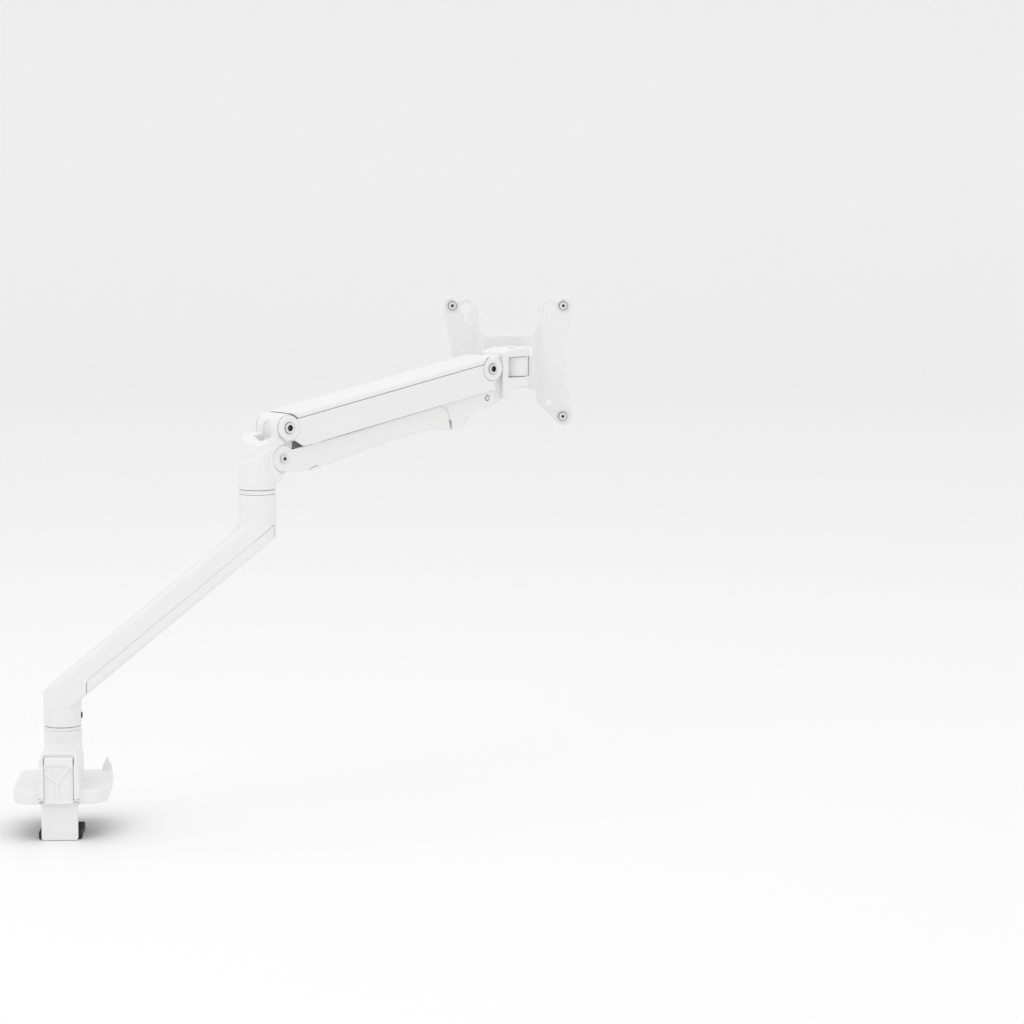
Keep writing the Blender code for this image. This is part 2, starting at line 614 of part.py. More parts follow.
def pivot_set(name, parent, x):
    """An axle through the link with a cap and a screw at each end."""
    axle = rod(AXLE_RADIUS, -15.4 * MM, 15.4 * MM, (x, 0, 0), "Y")
    axle = mesh_object(f"{name}_axle", axle, parent, "zinc")
    cut(axle, rod(1.9 * MM, -30 * MM, 30 * MM, (x, 0, 0), "Y", 12))
    for side, sign in (("near", -1), ("far", 1)):
        low = WALL_OUTER - 1.2 * MM + GAP
        high = WALL_OUTER + 0.5 * MM
        cap = turned([(4.9 * MM, low), (CAP_RADIUS, low), (CAP_RADIUS, high - 0.4 * MM),
                      (CAP_RADIUS - 0.4 * MM, high), (4.9 * MM, high)], (0, 0, 0), "Y", 24)
        turn = Matrix.Translation((x, 0, 0)) @ Matrix.Rotation(0 if sign > 0 else math.pi, 4, "Z")
        bmesh.ops.transform(cap, matrix=turn, verts=cap.verts)
        mesh_object(f"{name}_cap_{side}", cap, parent, "white_plastic")
        place = (x, sign * (WALL_OUTER - 1.2 * MM + GAP), 0)
        socket_screw(f"{name}_screw_{side}", parent, place, sign, 4.6 * MM, 2.2 * MM, 1.6 * MM, 6 * MM)


def spring_pieces(parent):
    """The counterbalance: a coil between two seats on a rod, in the link's channel."""
    z = -6 * MM
    first, last, turns, coil, wire = 44 * MM, 168 * MM, 12, 7.2 * MM, 1.1 * MM
    spring = bpy.data.curves.new("counter_spring", "CURVE")
    spring.dimensions = "3D"
    spring.bevel_depth = wire
    spring.bevel_resolution = 1
    spring.use_fill_caps = True
    line = spring.splines.new("POLY")
    count = turns * 10 + 1
    line.points.add(count - 1)
    for index in range(count):
        part = index / (count - 1)
        angle = math.tau * turns * part
        x = first + (last - first) * part
        line.points[index].co = (x, coil * math.cos(angle), z + coil * math.sin(angle), 1)
    spring.materials.append(MATERIALS["dark_steel"])
    item = bpy.data.objects.new("counter_spring", spring)
    item.parent = parent
    bpy.context.scene.collection.objects.link(item)

    mesh_object("spring_rod", rod(2.4 * MM, 30 * MM, 186 * MM, (0, 0, z), "X", 16), parent, "zinc")
    for name, low in (("spring_seat", first - 6 * MM), ("spring_slider", last + 1.5 * MM)):
        seat = box((low, -9 * MM, z - 8 * MM), (low + 4.5 * MM, 9 * MM, z + 8 * MM), 1 * MM, 1)
        seat = mesh_object(name, seat, parent, "dark_steel")
        cut(seat, rod(2.4 * MM + GAP, 0, 0.3, (0, 0, z), "X", 16))


def lower_link(parent):
    """A trough open above, with a deep lobe near the wrist."""
    end = LINK_LENGTH
    outline = arc(0, 0, 11 * MM, 62, 235, 18)
    outline += [(15 * MM, -15 * MM), (110 * MM, -9.8 * MM), (181 * MM, -9.3 * MM)]
    outline += [(181.1 * MM, -19.3 * MM, 0.8 * MM), (195 * MM, -17.6 * MM, 5 * MM),
                (201 * MM, -12 * MM, 3 * MM), (209 * MM, -8.8 * MM, 4 * MM)]
    outline += arc(end, 0, 8.7 * MM, -80, 90, 12)
    outline += [(38 * MM, 8.2 * MM), (31 * MM, 5.3 * MM), (10 * MM, 5.3 * MM)]
    walls = prism(rounded(outline, 4), -LOWER_LINK_OUTER, LOWER_LINK_OUTER, "Y")
    link = mesh_object("lower_link", walls, parent, "white_paint")
    inside = [(-20 * MM, -30 * MM), (24 * MM, -30 * MM), (24 * MM, -10 * MM), (110 * MM, -6.8 * MM),
              (200 * MM, -6.4 * MM), (206 * MM, -30 * MM), (260 * MM, -30 * MM), (260 * MM, 30 * MM),
              (-20 * MM, 30 * MM)]
    cut(link, prism(inside, -LOWER_LINK_INNER, LOWER_LINK_INNER, "Y"))
    cut(link, rod(LOWER_AXLE_RADIUS + GAP, -30 * MM, 30 * MM, (0, 0, 0), "Y"))
    cut(link, rod(WRIST_PIN_RADIUS + GAP, -30 * MM, 30 * MM, (end, 0, 0), "Y"))
    cut(link, box((30 * MM, -7 * MM, -30 * MM), (170 * MM, 7 * MM, 0)))
    return link


def cable_trough_cover(parent):
    """A shallow lid under the lower link, flared to a lip where cables leave it."""
    side = [(26 * MM, -14.9 * MM), (110 * MM, -10.3 * MM), (168 * MM, -9.8 * MM),
            (178 * MM, -17 * MM), (176.6 * MM, -18.6 * MM), (166 * MM, -12.6 * MM),
            (110 * MM, -12.4 * MM), (27 * MM, -17 * MM)]
    lid = prism(side, -LOWER_LINK_OUTER, LOWER_LINK_OUTER, "Y")
    return mesh_object("cable_trough_cover", lid, parent, "white_plastic")


def lower_pivot_pieces(parent):
    pin = rod(LOWER_AXLE_RADIUS, -11.2 * MM, 11.2 * MM, (0, 0, 0), "Y")
    pin = mesh_object("lower_axle", pin, parent, "zinc")
    cut(pin, rod(1.9 * MM, -30 * MM, 30 * MM, (0, 0, 0), "Y", 12))
    for side, sign in (("near", -1), ("far", 1)):
        place = (0, sign * (LOWER_LINK_OUTER + GAP), 0)
        socket_screw(f"lower_screw_{side}", parent, place, sign, 3.8 * MM, 1.4 * MM, 1.6 * MM,
                     6 * MM, 2.5 * MM)
        low, high = sorted((sign * 4 * MM, sign * LOWER_LINK_OUTER))
        pin = rod(WRIST_PIN_RADIUS, low, high, (LINK_LENGTH, 0, 0), "Y")
        pin = mesh_object(f"wrist_pin_{side}", pin, parent, "zinc")
        key = prism(hexagon(2.5 * MM), *sorted((sign * 12 * MM, sign * 16 * MM)), "Y")
        bmesh.ops.transform(key, matrix=Matrix.Translation((LINK_LENGTH, 0, 0)), verts=key.verts)
        cut(pin, key)


# --- wrist, in a frame level with the desk at the wrist pivot --------------------

def wrist_link(parent):
    """A tongue between the links' ends, a body, and a slotted round end for the pan barrel."""
    reach, h, r = PAN_REACH, CLEVIS_HALF_HEIGHT, CLEVIS_RADIUS
    low_x, low_z = LOWER_PIVOT_X - LIFT_X, LOWER_PIVOT_Z - LIFT_Z
    side = rounded([(13.4 * MM, -31 * MM, 2 * MM), (24 * MM, -h - 1 * MM, 12 * MM),
                    (reach + 20 * MM, -h), (reach + 20 * MM, h), (24 * MM, h - 1 * MM, 8 * MM),
                    (11.6 * MM, 12.5 * MM, 1 * MM)], 5)
    link = mesh_object("wrist_link", prism(side, -r, r, "Y"), parent, "white_paint")
    plan = [(12.6 * MM, -r)] + arc(reach, 0, r, -90, 90, ROUND // 2) + [(12.6 * MM, r)]
    keep(link, prism(plan, -60 * MM, 60 * MM))
    tongue = arc(0, 0, 10.6 * MM, 60, 190, 12) + arc(low_x, low_z, 9 * MM, 180, 300, 10)
    tongue += [(14.5 * MM, -30 * MM), (14.5 * MM, 11 * MM)]
    join(link, prism(tongue, -TONGUE_HALF_WIDTH, TONGUE_HALF_WIDTH, "Y"))
    slot_start = reach - CLEVIS_RADIUS - 1 * MM
    cut(link, box((slot_start, -30 * MM, -SLOT_HALF_HEIGHT), (100 * MM, 30 * MM, SLOT_HALF_HEIGHT)))
    cut(link, rod(AXLE_RADIUS + GAP, -30 * MM, 30 * MM, (0, 0, 0), "Y"))
    cut(link, rod(WRIST_PIN_RADIUS + GAP, -30 * MM, 30 * MM, (low_x, 0, low_z), "Y"))
    cut(link, rod(BOLT_RADIUS + GAP, -40 * MM, 40 * MM, (reach, 0, 0)))
    return link


def pan_pin(parent):
    pin = rod(BOLT_RADIUS, -16 * MM, 16 * MM, (PAN_REACH, 0, 0), chamfer=0.5 * MM)
    pin = mesh_object("pan_pin", pin, parent, "zinc")
    key = prism(hexagon(4 * MM), 12.5 * MM, 20 * MM)
    bmesh.ops.transform(key, matrix=Matrix.Translation((PAN_REACH, 0, 0)), verts=key.verts)
    return cut(pin, key)


# --- head, in frames level with the desk at the pan and tilt axes ----------------

def pan_barrel(parent):
    """A barrel on the pan pin, with a neck and a cross boss for the tilt bolt."""
    half = SLOT_HALF_HEIGHT - GAP
    drum = rod(13.6 * MM, -half, half, sides=ROUND, chamfer=0.5 * MM)
    barrel = mesh_object("pan_barrel", drum, parent, "white_paint")
    join(barrel, box((-8 * MM, 5 * MM, -7.5 * MM), (8 * MM, TILT_REACH, 7.5 * MM)))
    join(barrel, rod(TILT_BOSS_RADIUS, -11.4 * MM, 11.4 * MM, (0, TILT_REACH, 0), "X", 28, 0.4 * MM))
    cut(barrel, rod(BOLT_RADIUS + GAP, -30 * MM, 30 * MM))
    return cut(barrel, rod(BOLT_RADIUS + GAP, -30 * MM, 30 * MM, (0, TILT_REACH, 0), "X"))


def tilt_bracket(parent):
    """Two round ears on a disc that carries the roll joint."""
    back = ROLL_FACE_Y
    ear = arc(0, 0, EAR_RADIUS, 40, 320, 30) + [(back, -9 * MM), (back, 9 * MM)]
    left_ear = prism(ear, -15.6 * MM, -12.8 * MM, "X")
    bracket = mesh_object("tilt_bracket", left_ear, parent, "white_paint")
    join(bracket, rod(ROLL_HUB_RADIUS, back - 2.6 * MM, back, (0, 0, 0), "Y", ROUND, 0.4 * MM))
    join(bracket, prism(ear, 12.8 * MM, 15.6 * MM, "X"))
    cut(bracket, rod(BOLT_RADIUS + GAP, -30 * MM, 30 * MM, axis="X"))
    return cut(bracket, rod(BOLT_RADIUS + GAP, 0, 30 * MM, axis="Y"))


def tilt_pieces(parent):
    washer_low, washer_high = 11.7 * MM, 12.5 * MM
    for side, sign in (("left", -1), ("right", 1)):
        low, high = sorted((sign * washer_low, sign * washer_high))
        washer = tube(BOLT_RADIUS + GAP, 8.4 * MM, low, high, axis="X", sides=SMALL_ROUND)
        mesh_object(f"tilt_washer_{side}", washer, parent, "dark_steel")
    disc = tube(BOLT_RADIUS + GAP, 7 * MM, 15.9 * MM, 16.6 * MM, axis="X")
    mesh_object("tilt_friction_disc", disc, parent, "zinc")
    head = 16.9 * MM
    bolt = turned([(0, -20 * MM), (BOLT_RADIUS, -20 * MM), (BOLT_RADIUS, head), (6.4 * MM, head),
                   (6.4 * MM, 18.2 * MM), (0, 18.2 * MM)], axis="X", sides=SMALL_ROUND)
    bolt = mesh_object("tilt_bolt", bolt, parent, "zinc")
    cut(bolt, prism(hexagon(5 * MM), 17.2 * MM, 24 * MM, "X"))
    outer = EAR_RADIUS - 0.1 * MM
    cap = turned([(7.4 * MM, 15.9 * MM), (outer, 15.9 * MM), (outer, 18.8 * MM),
                  (outer - 0.8 * MM, 19.6 * MM), (0, 19.6 * MM), (0, 18.6 * MM),
                  (7.4 * MM, 18.6 * MM)], axis="X")
    mesh_object("tilt_cap", cap, parent, "white_plastic")
    nut = mesh_object("tilt_nut", prism(hexagon(12 * MM), -19.6 * MM, -15.9 * MM, "X"), parent, "zinc")
    cut(nut, rod(BOLT_RADIUS + GAP, -30 * MM, 0, axis="X"))


def leg_outline(side):
    """One leg of the plate: a waisted strip with round ends and a keyhole tab."""
    half = BOLT_SQUARE / 2
    tab = SMALL_SQUARE / 2
    points = [(26 * MM, 28 * MM)]
    points += arc(tab, 47 * MM, 10.4 * MM, 180, 40, 10)
    points += arc(half + 0.5 * MM, half, 8 * MM, 100, 0, 8)
    points += [(57.5 * MM, 38 * MM), (52.2 * MM, 18 * MM), (50.2 * MM, 0), (52 * MM, -18 * MM),
               (58.5 * MM, -40 * MM)]
    points += arc(half + 0.6 * MM, -half, 8.6 * MM, 0, -112, 8)
    points += [(42 * MM, -53 * MM), (26 * MM, -36 * MM), (26 * MM, -17 * MM)]
    return [(side * x, z) for x, z in points][::side]


def vesa_plate(parent):
    """An H of bent sheet: two legs flat against the monitor and a bridge raised towards the arm."""
    back = LEG_FRONT_Y + PLATE_SHEET
    low, high = -23.5 * MM, 23.5 * MM
    bridge_back = BRIDGE_FRONT_Y + PLATE_SHEET
    bridge = [(-29 * MM, LEG_FRONT_Y), (-22.5 * MM, BRIDGE_FRONT_Y), (22.5 * MM, BRIDGE_FRONT_Y),
              (29 * MM, LEG_FRONT_Y), (29 * MM, back), (26.6 * MM, back), (20.5 * MM, bridge_back),
              (-20.5 * MM, bridge_back), (-26.6 * MM, back), (-29 * MM, back)]
    plate = mesh_object("vesa_plate", prism(bridge, low, high), parent, "white_paint")
    for side in (-1, 1):
        join(plate, prism(leg_outline(side), LEG_FRONT_Y, back, "Y"))
    half, small = BOLT_SQUARE / 2, SMALL_SQUARE / 2
    for x in (-1, 1):
        for z in (-1, 1):
            cut(plate, rod(2.3 * MM, 0, 60 * MM, (x * half, 0, z * half), "Y", 16))
        cut(plate, rod(2.7 * MM, 0, 60 * MM, (x * small, 0, -small), "Y", 16))
        keyhole = arc(x * small, 47.8 * MM, 5.2 * MM, -66, 246, 16)
        keyhole += arc(x * small, small, 2.1 * MM, 180, 360, 6)
        cut(plate, prism(keyhole, 0, 60 * MM, "Y"))
    return cut(plate, rod(BOLT_RADIUS + GAP, 0, 60 * MM, axis="Y"))


def roll_pieces(parent):
    washer_back = BRIDGE_FRONT_Y - GAP
    washer = tube(BOLT_RADIUS + GAP, ROLL_HUB_RADIUS - 1 * MM, ROLL_FACE_Y + GAP, washer_back,
                  axis="Y", sides=ROUND)
    mesh_object("roll_washer", washer, parent, "white_plastic")


def roll_screw(parent):
    """A shouldered screw through the plate's bridge into the bracket's disc."""
    head = BRIDGE_FRONT_Y + PLATE_SHEET + GAP
    tip = ROLL_FACE_Y - 2.6 * MM
    top = head + 2.4 * MM
    screw = turned([(0, tip), (BOLT_RADIUS, tip), (BOLT_RADIUS, head), (9 * MM, head), (9 * MM, top),
                    (0, top)], axis="Y", sides=SMALL_ROUND)
    return mesh_object("roll_screw", screw, parent, "zinc")


def vesa_screw(name, parent, x, z):
    place = (x, LEG_FRONT_Y - GAP, z)
    return socket_screw(name, parent, place, -1, 3.9 * MM, 2.2 * MM, 1.9 * MM, 8 * MM, 2.5 * MM)


# --- assembly -----------------------------------------------------------------

def build_clamp():
    clamp_body()
    foot_pad()
    post_spindle()
    base_ring()
    lever_pin()
    jaw_axis = axis_empty("jaw_slide_axis")
    jaw_bracket(jaw_axis)
    jaw_block(jaw_axis)
    clamp_lever(axis_empty("lever_axis", None, (0, LEVER_PIN_Y, LEVER_PIN_Z)))


def build_lower_arm(base_axis):
    lower_arm(base_axis)
    lower_cable_cover(base_axis)
    collar_set_screw(base_axis)
    bush("base_bush", base_axis, (0, 0, 0), 60 * MM, 79 * MM)
    bush("elbow_bush", base_axis, (ELBOW_X, 0, 0), 228 * MM, 251 * MM)


def build_upper_arm(elbow_axis):
    knuckle(elbow_axis)
    elbow_pieces(elbow_axis)
    lift_axis = axis_empty("lift_axis", elbow_axis, (LIFT_X, 0, LIFT_Z), (0, -LIFT_AT_REST, 0))
    upper_link(lift_axis)
    upper_top_cover(lift_axis)
    pivot_set("lift", lift_axis, 0)
    pivot_set("wrist", lift_axis, LINK_LENGTH)
    spring_pieces(lift_axis)
    lower_axis = axis_empty("lower_link_axis", elbow_axis, (LOWER_PIVOT_X, 0, LOWER_PIVOT_Z),
                            (0, -LIFT_AT_REST, 0))
    lower_link(lower_axis)
    cable_trough_cover(lower_axis)
    lower_pivot_pieces(lower_axis)
    return lift_axis


def build_head(wrist_axis):
    wrist_link(wrist_axis)
    pan_pin(wrist_axis)
    pan_axis = axis_empty("pan_axis", wrist_axis, (PAN_REACH, 0, 0), (0, 0, -ARM_AZIMUTH))
    pan_barrel(pan_axis)
    tilt_axis = axis_empty("tilt_axis", pan_axis, (0, TILT_REACH, 0))
    tilt_bracket(tilt_axis)
    tilt_pieces(tilt_axis)
    roll_pieces(tilt_axis)
    roll_axis = axis_empty("roll_axis", tilt_axis)
    vesa_plate(roll_axis)
    roll_screw(roll_axis)
    half = BOLT_SQUARE / 2
    corners = {"upper_left": (-half, half), "upper_right": (half, half),
               "lower_left": (-half, -half), "lower_right": (half, -half)}
    for name, (x, z) in corners.items():
        vesa_screw(f"vesa_screw_{name}", roll_axis, x, z)


def build():
    build_clamp()
    base_axis = axis_empty("base_swivel_axis")
    build_lower_arm(base_axis)
    elbow_axis = axis_empty("elbow_axis", base_axis, (ELBOW_X, 0, 0), (0, 0, ARM_AZIMUTH))
    lift_axis = build_upper_arm(elbow_axis)
    build_head(axis_empty("wrist_axis", lift_axis, (LINK_LENGTH, 0, 0), (0, LIFT_AT_REST, 0)))


clear_scene()
MATERIALS = make_materials()
build()
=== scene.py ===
"""The looks of a white spring-balanced monitor arm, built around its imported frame."""

import json
import math

import bmesh
import bpy
from mathutils import Matrix, Vector


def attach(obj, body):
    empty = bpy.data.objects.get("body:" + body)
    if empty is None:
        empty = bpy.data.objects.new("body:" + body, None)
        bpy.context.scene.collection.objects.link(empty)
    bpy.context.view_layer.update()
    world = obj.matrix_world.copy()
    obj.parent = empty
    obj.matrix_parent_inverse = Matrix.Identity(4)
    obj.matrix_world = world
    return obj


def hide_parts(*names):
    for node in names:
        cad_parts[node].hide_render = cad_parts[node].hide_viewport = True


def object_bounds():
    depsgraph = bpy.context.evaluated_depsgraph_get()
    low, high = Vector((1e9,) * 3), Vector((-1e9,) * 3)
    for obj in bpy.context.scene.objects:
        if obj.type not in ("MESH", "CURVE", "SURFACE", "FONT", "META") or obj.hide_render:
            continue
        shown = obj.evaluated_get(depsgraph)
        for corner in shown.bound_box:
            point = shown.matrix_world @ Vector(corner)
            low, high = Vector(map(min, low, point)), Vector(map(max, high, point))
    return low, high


MM = 0.001

# Camera: standing place, then its turn to the right, its tilt and its roll
CAMERA_PLACE = (0.212, -2.588, 0.548)
CAMERA_YAW = math.radians(3.6)
CAMERA_PITCH = math.radians(-6.87)
CAMERA_ROLL = math.radians(0.16)
CAMERA_LENS = 110
CAMERA_SENSOR = 36
CAMERA_REACH = 50

# Lights: name, place, the point each faces, size and power
LIGHTS = (("key", (-0.9, -1.5, 1.9), (0.15, 0.0, 0.2), 1.6, 6),
          ("fill", (2.0, -1.6, 0.9), (0.2, 0.0, 0.2), 1.8, 1.5),
          ("top", (0.2, 0.1, 2.2), (0.2, 0.05, 0.2), 1.8, 5))
WORLD_STRENGTH = 0.93
FLOOR_TONE = 0.93

# Shapes, as in the frame
LINK_LENGTH = 224 * MM
CAP_RADIUS = 10.2 * MM
POST_RADIUS = 15.75 * MM
LEVER_HALF_WIDTH = 11.7 * MM
LEVER_FRONT_Y = -2.6 * MM     # from the lever's pin
LEVER_BACK_Y = 2.5 * MM
LEVER_BOTTOM_Z = -2.5 * MM
LEVER_TOP_Z = 35.8 * MM
FOOT_HALF_WIDTH = 39 * MM
FOOT_FRONT_Y = -46 * MM
FOOT_BACK_Y = 44 * MM
COLUMN_HALF_WIDTH = 17.2 * MM
COLUMN_FRONT_Y = -51 * MM
BEAM_START = (15.75 * MM, 81.5 * MM)
BEAM_SLOPE = math.radians(39.7)
LEG_FRONT_Y = 31.6 * MM
BRIDGE_FRONT_Y = 20.6 * MM
PLATE_SHEET = 2.5 * MM
BOLT_HALF_SQUARE = 50 * MM
CAP_BORE = 4.95 * MM
CAP_INNER_Y = 16.1 * MM
CAP_OUTER_Y = 17.5 * MM
SPRING_Z = -6 * MM
ROLL_BORE = 4.3 * MM
RING_BORE = 6.3 * MM

# Shapes finer than the frame's, or a little different from it
HOUSING_HALF_WIDTH = 16.2 * MM
HOUSING_TOP_Z = 43.4 * MM
BRACKET_ROOM_HALF_WIDTH = 15.4 * MM    # kept free for the jaw's bracket
BRACKET_ROOM_BACK_Y = -42.2 * MM
PAD_INSET = 2.5 * MM
HUB_RADIUS = 15.6 * MM
RING_RIBS = 60
RIB_DEPTH = 0.22 * MM
PLAN_STEPS = 10
BEVEL_STEPS = 3

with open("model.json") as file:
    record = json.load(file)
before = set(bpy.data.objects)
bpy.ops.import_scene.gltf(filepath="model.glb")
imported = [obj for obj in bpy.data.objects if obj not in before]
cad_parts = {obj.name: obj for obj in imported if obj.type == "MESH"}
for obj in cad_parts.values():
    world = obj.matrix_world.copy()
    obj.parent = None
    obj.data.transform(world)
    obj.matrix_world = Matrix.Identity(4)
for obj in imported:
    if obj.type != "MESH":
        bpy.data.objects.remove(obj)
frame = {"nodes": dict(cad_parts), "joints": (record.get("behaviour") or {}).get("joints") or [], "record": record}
CAD_BOX = [list(corner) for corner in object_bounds()]
NODES = frame["nodes"]
JOINTS = {joint["name"]: joint for joint in frame["joints"]}


# --- places -----------------------------------------------------------------------

def pivot(joint):
    return Vector(JOINTS[joint]["pos_m"])


def local_frames():
    """Each body's own frame: its pivot's place, turned along the body."""
    lift, wrist = pivot("lift"), pivot("wrist_level")
    reach = wrist - lift
    azimuth = Matrix.Rotation(math.atan2(reach.y, reach.x), 4, "Z")
    rise = Matrix.Rotation(-math.atan2(reach.z, math.hypot(reach.x, reach.y)), 4, "Y")
    elbow = pivot("elbow_swivel")
    still = Matrix.Identity(4)
    return {
        "clamp": still, "jaw": still, "lever": Matrix.Translation(pivot("lever_swing")),
        "lower_arm": still,
        "knuckle": Matrix.Translation((elbow.x, elbow.y, 0)) @ azimuth,
        "upper_link": Matrix.Translation(lift) @ azimuth @ rise,
        "lower_link": Matrix.Translation(pivot("lower_link_swing")) @ azimuth @ rise,
        "wrist": Matrix.Translation(wrist) @ azimuth,
        "pan_head": Matrix.Translation(pivot("pan")),
        "tilt_head": Matrix.Translation(pivot("tilt")),
        "plate": Matrix.Translation(pivot("tilt")),
    }


FRAMES = local_frames()


# --- materials --------------------------------------------------------------------

def new_material(name, colour, roughness, metallic=0.0):
    material = bpy.data.materials.new(name)
    material.use_nodes = True
    shader = material.node_tree.nodes["Principled BSDF"]
    shader.inputs["Base Color"].default_value = (*colour, 1)
    shader.inputs["Roughness"].default_value = roughness
    shader.inputs["Metallic"].default_value = metallic
    return material


def add_noise(material, scale, detail, stretch=(1, 1, 1)):
    """A noise fixed to the object, finer as its scale grows."""
    tree = material.node_tree
    place = tree.nodes.new("ShaderNodeTexCoord")
    mapping = tree.nodes.new("ShaderNodeMapping")
    mapping.inputs["Scale"].default_value = stretch
    noise = tree.nodes.new("ShaderNodeTexNoise")
    noise.inputs["Scale"].default_value = scale
    noise.inputs["Detail"].default_value = detail
    tree.links.new(place.outputs["Object"], mapping.inputs["Vector"])
    tree.links.new(mapping.outputs["Vector"], noise.inputs["Vector"])
    return noise.outputs["Fac"]


def vary(material, source, socket, low, high):
    """Drives a shader's number between low and high by a noise."""
    tree = material.node_tree
    span = tree.nodes.new("ShaderNodeMapRange")
    span.inputs["From Min"].default_value = 0.3
    span.inputs["From Max"].default_value = 0.7
    span.inputs["To Min"].default_value = low
    span.inputs["To Max"].default_value = high
    tree.links.new(source, span.inputs["Value"])
    tree.links.new(span.outputs["Result"], tree.nodes["Principled BSDF"].inputs[socket])


def tint(material, source, low, high):
    """Mixes two close colours by a noise."""
    tree = material.node_tree
    mix = tree.nodes.new("ShaderNodeMix")
    mix.data_type = "RGBA"
    mix.inputs[6].default_value = (*low, 1)
    mix.inputs[7].default_value = (*high, 1)
    tree.links.new(source, mix.inputs[0])
    tree.links.new(mix.outputs[2], tree.nodes["Principled BSDF"].inputs["Base Color"])


def bump(material, source, depth, strength):
    """Roughens the surface by a noise of some depth."""
    tree = material.node_tree
    node = tree.nodes.new("ShaderNodeBump")
    node.inputs["Strength"].default_value = strength
    node.inputs["Distance"].default_value = depth
    tree.links.new(source, node.inputs["Height"])
    tree.links.new(node.outputs["Normal"], tree.nodes["Principled BSDF"].inputs["Normal"])


def white_paint():
    """Satin powder coat: a faint orange peel over slow changes in gloss and tone."""
    material = new_material("white_powder_coat", (0.83, 0.83, 0.83), 0.42)
    bump(material, add_noise(material, 900, 2), 0.04 * MM, 0.35)
    vary(material, add_noise(material, 60, 3), "Roughness", 0.37, 0.47)
    tint(material, add_noise(material, 25, 2), (0.815, 0.815, 0.82), (0.84, 0.84, 0.84))
    return material


def white_plastic():
    """Moulded plastic with a fine spark-eroded grain."""
    material = new_material("white_moulded_plastic", (0.83, 0.83, 0.83), 0.5)
    bump(material, add_noise(material, 2600, 2), 0.03 * MM, 0.5)
    vary(material, add_noise(material, 80, 3), "Roughness", 0.46, 0.56)
    tint(material, add_noise(material, 30, 2), (0.815, 0.815, 0.812), (0.835, 0.835, 0.832))
    return material


def zinc():
    """Zinc plate on turned steel: bright, with fine turning marks and a cloudy gloss."""
    material = new_material("zinc_plated_steel", (0.74, 0.74, 0.74), 0.3, 1.0)
    bump(material, add_noise(material, 1500, 4, (1, 6, 1)), 0.02 * MM, 0.5)
    vary(material, add_noise(material, 300, 3), "Roughness", 0.24, 0.42)
    tint(material, add_noise(material, 200, 2), (0.68, 0.68, 0.685), (0.8, 0.8, 0.8))
    return material


def dark_steel():
    """Steel with an oiled black oxide finish."""
    material = new_material("black_oxide_steel", (0.06, 0.06, 0.065), 0.42, 0.8)
    bump(material, add_noise(material, 1800, 3), 0.02 * MM, 0.5)
    vary(material, add_noise(material, 250, 3), "Roughness", 0.34, 0.55)
    tint(material, add_noise(material, 150, 2), (0.045, 0.045, 0.05), (0.085, 0.085, 0.09))
    return material


def black_rubber():
    """Matte rubber with a fine grain and a little dust in it."""
    material = new_material("black_rubber", (0.02, 0.02, 0.021), 0.78)
    bump(material, add_noise(material, 1200, 5), 0.08 * MM, 0.6)
    vary(material, add_noise(material, 120, 4), "Roughness", 0.68, 0.9)
    tint(material, add_noise(material, 90, 4), (0.014, 0.014, 0.015), (0.04, 0.04, 0.041))
    return material


MATERIALS = {"white_paint": white_paint(), "white_plastic": white_plastic(), "zinc": zinc(),
             "dark_steel": dark_steel(), "black_rubber": black_rubber()}


# --- outlines and solids ----------------------------------------------------------

def arc(x, y, radius, first, last, steps=16):
    angles = [math.radians(first + (last - first) * k / steps) for k in range(steps + 1)]
    return [(x + radius * math.cos(a), y + radius * math.sin(a)) for a in angles]


def circle(x, y, radius, sides=48):
    return arc(x, y, radius, 0, 360, sides)[:-1]


def rounded(corners, steps=8):
    """A closed outline whose corners (x, y, radius) become arcs; a corner (x, y) stays sharp."""
    outline = []
    for index, corner in enumerate(corners):
        here = Vector(corner[:2])
        if len(corner) == 2:
            outline.append(tuple(here))
            continue
        before = (Vector(corners[index - 1][:2]) - here).normalized()
        after = (Vector(corners[(index + 1) % len(corners)][:2]) - here).normalized()
        half = before.angle(after) / 2
        reach = corner[2] / math.tan(half)
        centre = here + (before + after).normalized() * corner[2] / math.sin(half)
        start, end = here + before * reach - centre, here + after * reach - centre
        turn = start.angle_signed(end)
        for k in range(steps + 1):
            outline.append(tuple(centre + Matrix.Rotation(-turn * k / steps, 2) @ start))
    return outline


def on_axis(axis, u, v, w):
    """A point whose outline coordinates are u and v and whose place along the axis is w."""
    return {"X": (w, u, v), "Y": (u, w, v), "Z": (u, v, w)}[axis]


def prism(outline, low, high, axis="Z", bevel=0.0):
    """An outline drawn out along an axis, with rounded end rims."""
    shape = bmesh.new()
    ends = [[shape.verts.new(on_axis(axis, u, v, w)) for u, v in outline] for w in (low, high)]
    count = len(outline)
    for k in range(count):
        n = (k + 1) % count
        shape.faces.new((ends[0][k], ends[0][n], ends[1][n], ends[1][k]))
    caps = [shape.faces.new(ends[0][::-1]), shape.faces.new(ends[1])]
    bmesh.ops.recalc_face_normals(shape, faces=shape.faces)
    if bevel:
        rims = list({edge for cap in caps for edge in cap.edges})
        bmesh.ops.bevel(shape, geom=rims, offset=bevel, segments=BEVEL_STEPS, profile=0.5,
                        affect="EDGES", clamp_overlap=True)
    return shape


def box(low, high):
    shape = bmesh.new()
    bmesh.ops.create_cube(shape, size=1)
    low, high = Vector(low), Vector(high)
    size = high - low
    move = Matrix.Translation((low + high) / 2) @ Matrix.Diagonal((*size, 1))
    bmesh.ops.transform(shape, matrix=move, verts=shape.verts)
    return shape


